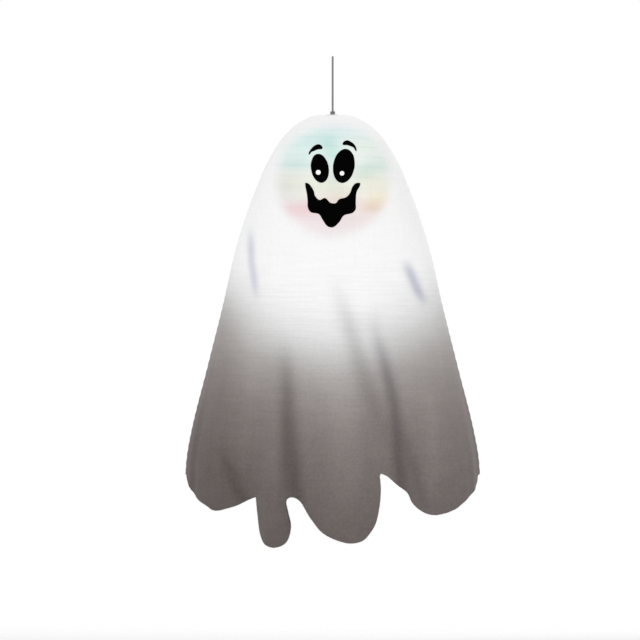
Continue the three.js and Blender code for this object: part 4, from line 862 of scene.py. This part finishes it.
# Hanging cord, which comes first among the pieces
def cord_route():
    half = CORD_SPACING / 2
    middle_z = CORD_DIAMETER / 2 - CORD_TOP_RADIUS
    rising = [(half, CORD_END_Z), (half, (CORD_END_Z + COLLAR_TOP) / 2)]
    for k in range(6):
        y = half + (CORD_TOP_RADIUS - half) * smoothstep(k / 6, 0, 1)
        rising.append((float(y), COLLAR_TOP + (middle_z - COLLAR_TOP) * k / 6))
    turn = np.linspace(0, math.pi, 7)
    bend = [(CORD_TOP_RADIUS * math.cos(t), middle_z + CORD_TOP_RADIUS * math.sin(t)) for t in turn]
    falling = [(-y, z) for y, z in reversed(rising)]
    return np.array([(0, y, z) for y, z in rising + bend + falling])


def braided(path, diameter, sides, strands=4, lay=10.0):
    """Radii [point, side] of a braided cord: two sets of strands that cross."""
    turn = strands / 2 * around(sides)
    phase = 2 * math.pi * lengths_along(path)[:, None] / lay
    ridges = np.maximum(np.abs(np.cos(turn + phase)), np.abs(np.cos(turn - phase)))
    return diameter / 2 * (0.84 + 0.2 * ridges)


cord_line = smooth_line(cord_route(), 0.7)
cord_radii = braided(cord_line, CORD_DIAMETER, CORD_SIDES)
cord = tube("cord", cord_line, cord_radii, CORD, "hanging_cord", CORD_SIDES, slot="cord")
# Painted shade in the valleys between the braid's strands
painted_valley_shade = 1 - smoothstep(cord_radii / (CORD_DIAMETER / 2), 0.93, 1.03)
paint(cord, np.repeat(1 - 0.45 * painted_valley_shade.reshape(-1, 1), 3, 1))

# Hanger: collar, grommet, washer and hub
finish_cad("cord_collar", GREY, 0.25)
hole = (CORD_SPACING + CORD_DIAMETER) / 2 + 0.5
barrel = hole + 1
under_washer = CROWN_Z - CAD_CLOTH - TOUCH - FLANGE
low, high = CROWN_Z + TOUCH, CROWN_Z + TOUCH + FLANGE
grommet = [
    (hole, under_washer), (barrel, under_washer), (barrel, low), (11.8, low), (12, low + 0.2),
    (11.95, low + 0.5), (11.6, high - 0.15), (11.1, high), (hole + 0.5, high), (hole + 0.12, high - 0.14),
    (hole, high - 0.5),
]
turned("grommet", grommet, SHELL, "crown_grommet", 64)
washer = [
    (barrel + 0.3, 0.1), (barrel + 0.4, 0), (11.9, 0), (12, 0.1), (12, 0.9), (11.9, 1), (barrel + 0.4, 1),
    (barrel + 0.3, 0.9),
]
washer = [(radius, under_washer + up) for radius, up in washer]
turned("washer", washer, STEEL, "crown_washer", 64)
finish_cad("hanger_hub", SHELL, 0.35)

# Cover: two panels, their hem threads and the stitches down their side seams
panels = [
    (cover_panel("front", -1, 4.2, 6.2), "front", -1),
    (cover_panel("back", 1, 6.5, 8.0), "back", 1),
]
for panel, word, side in panels:
    sewn = [hem_thread(word, side)] + [seam_stitches(word, side, hand) for hand in (-1, 1)]


# Face: cloth shapes sewn flat on the front panel, and the glints on the eyes
LIFT, FELT, GLINT_FELT = 0.12, 0.7, 0.5


def applique(name, outline, material=BLACK, lift=LIFT, thickness=FELT, grid=3.4):
    """A cloth shape with a closed outline [x, z] in millimetres, lying on the front panel."""
    outline = np.asarray(outline, float)
    low, high = outline.min(0), outline.max(0)
    xs, zs = np.arange(low[0], high[0], grid), np.arange(low[1], high[1], grid * 0.87)
    places = np.array([(x + (grid / 2 if j % 2 else 0), z) for j, z in enumerate(zs) for x in xs])
    places = places[inside(places, outline)]
    flat, faces = fill(outline, places[gap_to(places, outline) > 0.45 * grid])
    theta = np.arcsin(flat[:, 0] / width_at(flat[:, 1]))
    v = run_at(flat[:, 1])
    on_cloth, outwards = cover_point(theta, v, -1), cover_normal(theta, v, -1)
    rounding = 0.18 * (gap_to(flat, outline) < 0.01)
    outer = on_cloth + outwards * (lift + thickness - rounding)[:, None]
    inner = on_cloth + outwards * lift
    points, faces = thickened(outer, inner, faces)
    sharpen(make("face_" + name, points, faces, material, name), 50)


def oval(middle, half, lean, steps=72):
    """Outline of a leaning oval; its middle is given as [across, drop]."""
    turn = around(steps)
    angle = math.radians(lean)
    u = half[0] * np.cos(turn)
    w = -half[1] * np.sin(turn)
    x = middle[0] + u * math.cos(angle) + w * math.sin(angle)
    drop = middle[1] - u * math.sin(angle) + w * math.cos(angle)
    return np.stack([x, -drop], 1)[::-1]


MOUTH = [  # outline in millimetres, from the left tip along the lower edge and back
    (-55.2, -259.4), (-51, -283.9), (-49.6, -305.7), (-44.2, -313.8), (-27.9, -317.9), (-19.7, -330.1),
    (-10.2, -342.4), (0.7, -344.3), (12.9, -334.2), (22.4, -320.6), (40.1, -315.2), (45.9, -308.4),
    (46.5, -289.3), (48.3, -273), (55.3, -259), (55.3, -255), (46.9, -255.4), (40.1, -262.2),
    (34.7, -275.8), (26.5, -283.9), (12.9, -288), (6.1, -295.6), (-4.7, -294.8), (-15.6, -285.3),
    (-26.5, -289.3), (-35.5, -281.2), (-38.7, -270.3), (-48.2, -256.7), (-55.2, -254.6),
]
BROWS = {  # outlines in pixels of the photograph, blunt towards the middle and drawn out to a thin tail
    "left_brow": [
        (308.7, 155), (308.4, 153.1), (310, 149.9), (312.2, 147.5), (314.8, 145.6), (317.1, 144.6),
        (319.3, 144.8), (321.1, 146), (322, 147.8), (321.5, 149.2), (319.2, 149.3), (316.3, 149.8),
        (313.5, 151), (311.2, 151.9), (310, 153.4),
    ],
    "right_brow": [
        (342, 144.4), (343.2, 141.8), (346.4, 140.5), (349.4, 141.4), (352.4, 143.4), (354.4, 146.1),
        (355.9, 150.1), (355.5, 151.3), (353.9, 149.1), (352.3, 147.4), (350.4, 146.6), (348.5, 145.9),
        (345.9, 145.2), (343.3, 145.3),
    ],
}
applique("mouth", smooth_line(MOUTH, 1.2, closed=True))
applique("left_eye", oval((-25.9, 225.3), (17.8, 29.4), 9.5))
applique("right_eye", oval((22.5, 220.4), (21.5, 34.7), -9))
for name, points in BROWS.items():
    applique(name, smooth_line(pixels(*points), 1.0, closed=True), grid=2.6)
for name, middle, radius in (("left_glint", (-29, 233.5), 4.9), ("right_glint", (18.7, 235.4), 4.6)):
    applique(name, oval(middle, (radius, radius), 0, 40), WHITE, LIFT + FELT + 0.1, GLINT_FELT, 2.4)


# Round lantern: nylon drawn over the rib spiral, its rings and the expander inside
def on_lantern(angle, azimuth, inset):
    """Point of the round at an angle from the top and an azimuth."""
    radius = (LANTERN_RADIUS - inset) * np.sin(angle)
    up = (LANTERN_HALF_HEIGHT - inset) * np.cos(angle)
    return np.stack([radius * np.cos(azimuth), radius * np.sin(azimuth), HEAD_Z + up], -1)


def lantern_skin():
    rows, sides = RIB_TURNS * 7, 192
    mouth = math.asin(MOUTH_RADIUS / LANTERN_RADIUS)
    angle = np.linspace(mouth, math.pi - mouth, rows + 1)[:, None]
    azimuth = around(sides)[None]
    turns = (angle - RIB_START) / (math.pi - 2 * RIB_START) * RIB_TURNS - azimuth / (2 * math.pi)
    between_ribs = 0.5 - 0.5 * np.cos(2 * math.pi * turns)
    pleats = np.sin(24 * azimuth + 1.7 * np.sin(3 * azimuth)) * (0.35 + 0.9 * np.abs(np.cos(angle)) ** 2)
    gore_seam = np.exp(-((np.abs(np.sin(2 * azimuth)) / 0.02) ** 2))
    inset = 0.5 + 2.4 * between_ribs - 0.35 * pleats * between_ribs - 0.35 * gore_seam
    at_ring = smoothstep(np.abs(np.cos(angle)), math.cos(mouth) - 0.03, math.cos(mouth))
    inset = inset * (1 - at_ring)
    outer, inner = (on_lantern(angle, azimuth, inset + depth).reshape(-1, 3) for depth in (0.0, 0.35))
    faces = [face for row in range(rows) for face in band(row * sides, (row + 1) * sides, sides)]
    points, faces = thickened(outer, inner, faces)
    gores = "lantern_skin_front_left lantern_skin_front_right lantern_skin_back_right lantern_skin_back_left"
    skin = make("lantern_cloth", points, faces, NYLON, gores, slot="lantern_cloth")
    # Painted shade where the nylon sags in between the ribs
    painted_sag_shade = 1 - 0.05 * np.repeat(between_ribs[None], 2, 0)
    paint(skin, linear((243, 243, 238)) * painted_sag_shade.reshape(-1, 1))
    return skin


skin = lantern_skin()
share = np.linspace(0, 1, RIB_TURNS * 72 + 1)
rib_angle = RIB_START + (math.pi - 2 * RIB_START) * share
rib_line = on_lantern(rib_angle, 2 * math.pi * RIB_TURNS * share, SKIN_THICKNESS + 1.8 + RIB_WIRE)
tube("ribs", rib_line, RIB_WIRE, STEEL, "rib_spiral", 8)
turn = around(96)
for name, z in (("upper_ring", UPPER_RING_Z), ("lower_ring", LOWER_RING_Z)):
    line = np.stack([MOUTH_RADIUS * np.cos(turn), MOUTH_RADIUS * np.sin(turn), np.full(96, z)], 1)
    tube("wire_" + name, line, RING_WIRE, STEEL, name, closed=True)


def rounded_route(corners, radius, steps=6):
    """The corners' route with a round of some radius at each inner corner."""
    corners = np.asarray(corners, float)
    route = [corners[0]]
    for before, corner, after in zip(corners, corners[1:], corners[2:]):
        into = (before - corner) / np.linalg.norm(before - corner)
        out = (after - corner) / np.linalg.norm(after - corner)
        start, end = corner + into * radius, corner + out * radius
        middle = start + end - corner
        for k in range(steps + 1):
            t = k / steps * math.pi / 2
            route.append(middle + (start - middle) * math.cos(t) + (end - middle) * math.sin(t))
    route.append(corners[-1])
    return np.array(route)


bends = [(-34, FOOT_Z), (-44, FOOT_Z), (-44, BAR_Z), (44, BAR_Z), (44, FOOT_Z), (34, FOOT_Z)]
expander = rounded_route([(x, 0, z) for x, z in bends], 4)
tube("expander_wire", expander, EXPANDER_WIRE, STEEL, "expander")


# Lamp hook
def hook_half():
    """One bend of the hook, [aside, up], with its middle at the origin and its straight end first."""
    turn = np.linspace(0, math.pi, 13)
    bend = [(HOOK_BEND * math.cos(t), HOOK_BEND * math.sin(t)) for t in turn]
    shares = (0.2, 0.35, 0.5, 0.65, 0.8, 1)
    closing = [(-HOOK_BEND * (1 - float(smoothstep(share, 0, 1))), -12 * share) for share in shares]
    return [(HOOK_BEND, -5), (HOOK_BEND, -2.5)] + bend + closing


upper_bend = [(0, y, HOOK_PIVOT_Z - HOOK_BEND + up) for y, up in hook_half()]
lower_bend = [(x, 0, LAMP_Z + HOOK_BEND - up) for x, up in hook_half()][::-1]
hook_line = np.array(upper_bend + lower_bend)
tube("hook_wire", hook_line, HOOK_WIRE, STEEL, "lamp_hook", body="hook")

# Lamp: moulded shells, door and switch from the CAD model, with rounded edges
finish_cad("lamp_front_shell", SHELL, 0.35)
finish_cad("lamp_rear_shell battery_door", SHELL, 0.25)
finish_cad("switch_body", DARK, 0.15)
finish_cad("switch_slider", DARK, 0.12)
finish_cad("led_board", BOARD, 0.1)
finish_cad("door_screw", NICKEL, 0.1)
finish_cad("case_screw_1 case_screw_2 case_screw_3 case_screw_4", NICKEL, 0.08)
finish_cad("contact_tab_plus contact_tab_minus contact_link_top contact_link_bottom", NICKEL, 0.08)

LENS_Z = LAMP_Z - 38.2
LENS_FRONT = -15.6
lens_share = np.linspace(0, 1, 25)


def dome(radius, height):
    return [(radius * s, LENS_FRONT - height * (1 - s * s)) for s in lens_share]


lens_flange = [(19, -13.3), (21.5, -13.3), (21.5, -11.9), (17.6, -11.9)]
lens_profile = dome(19, 8) + lens_flange + dome(17.6, 6.6)[::-1]
turned("lens", lens_profile, LENS, "lamp_lens", 72, "lamp", "y", (0, 0, LENS_Z))

rounding = [(2.5 * math.cos(a), 6.1 + 2.5 * math.sin(a)) for a in np.linspace(0, math.pi / 2, 9)[:-1]]
led_profile = [(r, -8.9 - up) for r, up in [(0, 0), (3, 0), (3, 1), (2.5, 1)] + rounding + [(0, 8.6)]]
LED_CIRCLE = 12
for (name, colour), degrees in zip(LED_COLOURS.items(), (90, 162, 18, 234, 306)):
    t = math.radians(degrees)
    place = (LED_CIRCLE * math.cos(t), 0, LENS_Z + LED_CIRCLE * math.sin(t))
    turned(name + "_dome", led_profile, glowing(name, colour), name, 32, "lamp", "y", place)

CELL_Y, CELL_PITCH = 6.25, 12.3
SPRING_RADIUS, SPRING_WIRE, SPRING_TURNS, SPRING_RISE = 2.65, 0.35, 3, 5.5
LEAD_X, LEAD_RADIUS, BEFORE_BOARD = 16.55, 0.6, -6.1
HINGE_Y, HINGE_Z, HINGE_PIN_RADIUS = 14, LAMP_Z - 72.55, 0.8
CELL = [
    (0, -44.5), (4.3, -44.5), (4.4, -44.4), (4.75, -44.5), (5.15, -44.3), (5.25, -44), (5.25, -1.8),
    (5.15, -1.4), (4.8, -1.2), (1.9, -1.2), (1.9, -0.15), (1.75, 0), (0, 0),
]
for number, x in enumerate((-CELL_PITCH, 0, CELL_PITCH), 1):
    name = f"battery_{number}"
    profile = np.array([(r, -z) for r, z in CELL][::-1] if number == 2 else CELL)
    profile[:, 1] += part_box(name)[0][2] / MM - profile[:, 1].min()
    turned(name + "_cell", profile, SLEEVE, name, 40, "lamp", middle=(x, CELL_Y, 0))
    name = f"contact_spring_{number}"
    share = np.linspace(0, 1, SPRING_TURNS * 24 + 1)
    coil = 2 * math.pi * SPRING_TURNS * share
    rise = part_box(name)[0][2] / MM + SPRING_WIRE + SPRING_RISE * share
    line = np.stack([x + SPRING_RADIUS * np.cos(coil), CELL_Y + SPRING_RADIUS * np.sin(coil), rise], 1)
    tube(name + "_wire", line, SPRING_WIRE, NICKEL, name, 8, body="lamp")

for name, hand, rgb in (("lead_red", -1, (176, 34, 32)), ("lead_black", 1, (30, 30, 32))):
    places = [
        (CELL_Y - 1, 0), (1.7, 0), (-2.3, 0), ((BEFORE_BOARD - 1.3) / 2 - 0.5, -4), (BEFORE_BOARD, -10.4),
        (BEFORE_BOARD, -16),
    ]
    line = smooth_line([(hand * LEAD_X, y, LAMP_Z - 11.35 + up) for y, up in places], 0.8)
    tube(name + "_wire", line, LEAD_RADIUS, plastic(name, rgb, 0.5, 0.02), name, 10, body="lamp")

pin_line = np.array([(x, HINGE_Y, HINGE_Z) for x in np.linspace(-20, 20, 9)])
tube("hinge_pin", pin_line, HINGE_PIN_RADIUS, STEEL, "door_hinge_pin", 20, body="lamp")

# Stage: a pale floor that fades out, soft light from all round and three soft lamps
FLOOR_Z = -1200 * MM
FLOOR_RADIUS = 3.0


def floor():
    rim = [(FLOOR_RADIUS * math.cos(a), FLOOR_RADIUS * math.sin(a), 0) for a in around(96)]
    mesh = bpy.data.meshes.new("floor")
    mesh.from_pydata(rim, [], [list(range(96))])
    piece = link("floor", mesh)
    piece.location = (0, 0, FLOOR_Z)
    s = Surface("floor", 0.95, Specular_IOR_Level=0.0)
    s.colour((0.96, 0.96, 0.96, 1))
    reach = add(s.tree, "VectorMath", {0: s.place}, operation="LENGTH").outputs["Value"]
    away = s.spread(reach, 0.0, 1.0, 0.7, 2.6, interpolation_type="SMOOTHSTEP")
    back = add(s.tree, "NewGeometry", {}).outputs["Backfacing"]
    clear = add(s.tree, "BsdfTransparent", {}).outputs[0]
    inputs = {0: s.math("MAXIMUM", away, back), 1: s.bsdf.outputs[0], 2: clear}
    both = add(s.tree, "MixShader", inputs).outputs[0]
    plug(s.tree, s.tree.nodes["Material Output"].inputs["Surface"], both)
    mesh.materials.append(s.material)


def surroundings(strength):
    world = bpy.data.worlds.new("studio")
    bpy.context.scene.world = world
    world.use_nodes = True
    tree = world.node_tree
    powers = (strength, 1.0)
    light, white = (add(tree, "Background", {"Color": (1, 1, 1, 1), "Strength": power}) for power in powers)
    path = add(tree, "LightPath", {})
    seen = path.outputs["Is Camera Ray"]
    for ray in ("Is Glossy Ray", "Is Transmission Ray"):
        seen = add(tree, "Math", {0: seen, 1: path.outputs[ray]}, operation="MAXIMUM").outputs[0]
    both = add(tree, "MixShader", {0: seen, 1: light.outputs[0], 2: white.outputs[0]})
    plug(tree, tree.nodes["World Output"].inputs["Surface"], both.outputs[0])


def soft_light(name, place, size, watts):
    """A disc of light aimed at the middle of the cloth."""
    data = bpy.data.lights.new(name, "AREA")
    data.shape = "DISK"
    data.size = size
    data.energy = watts
    lamp = link(name, data)
    lamp.location = place
    lamp.rotation_euler = (Vector((0, 0, -0.5)) - Vector(place)).to_track_quat("-Z", "Y").to_euler()


floor()
surroundings(0.77)
soft_light("key", (-2.2, -3.2, 1.6), 1.8, 33)
soft_light("fill", (2.6, -2.6, 0.2), 2.2, 16.5)
soft_light("back", (0.8, 3.2, 1.4), 2.0, 26)
bpy.context.scene.view_settings.view_transform = "Standard"
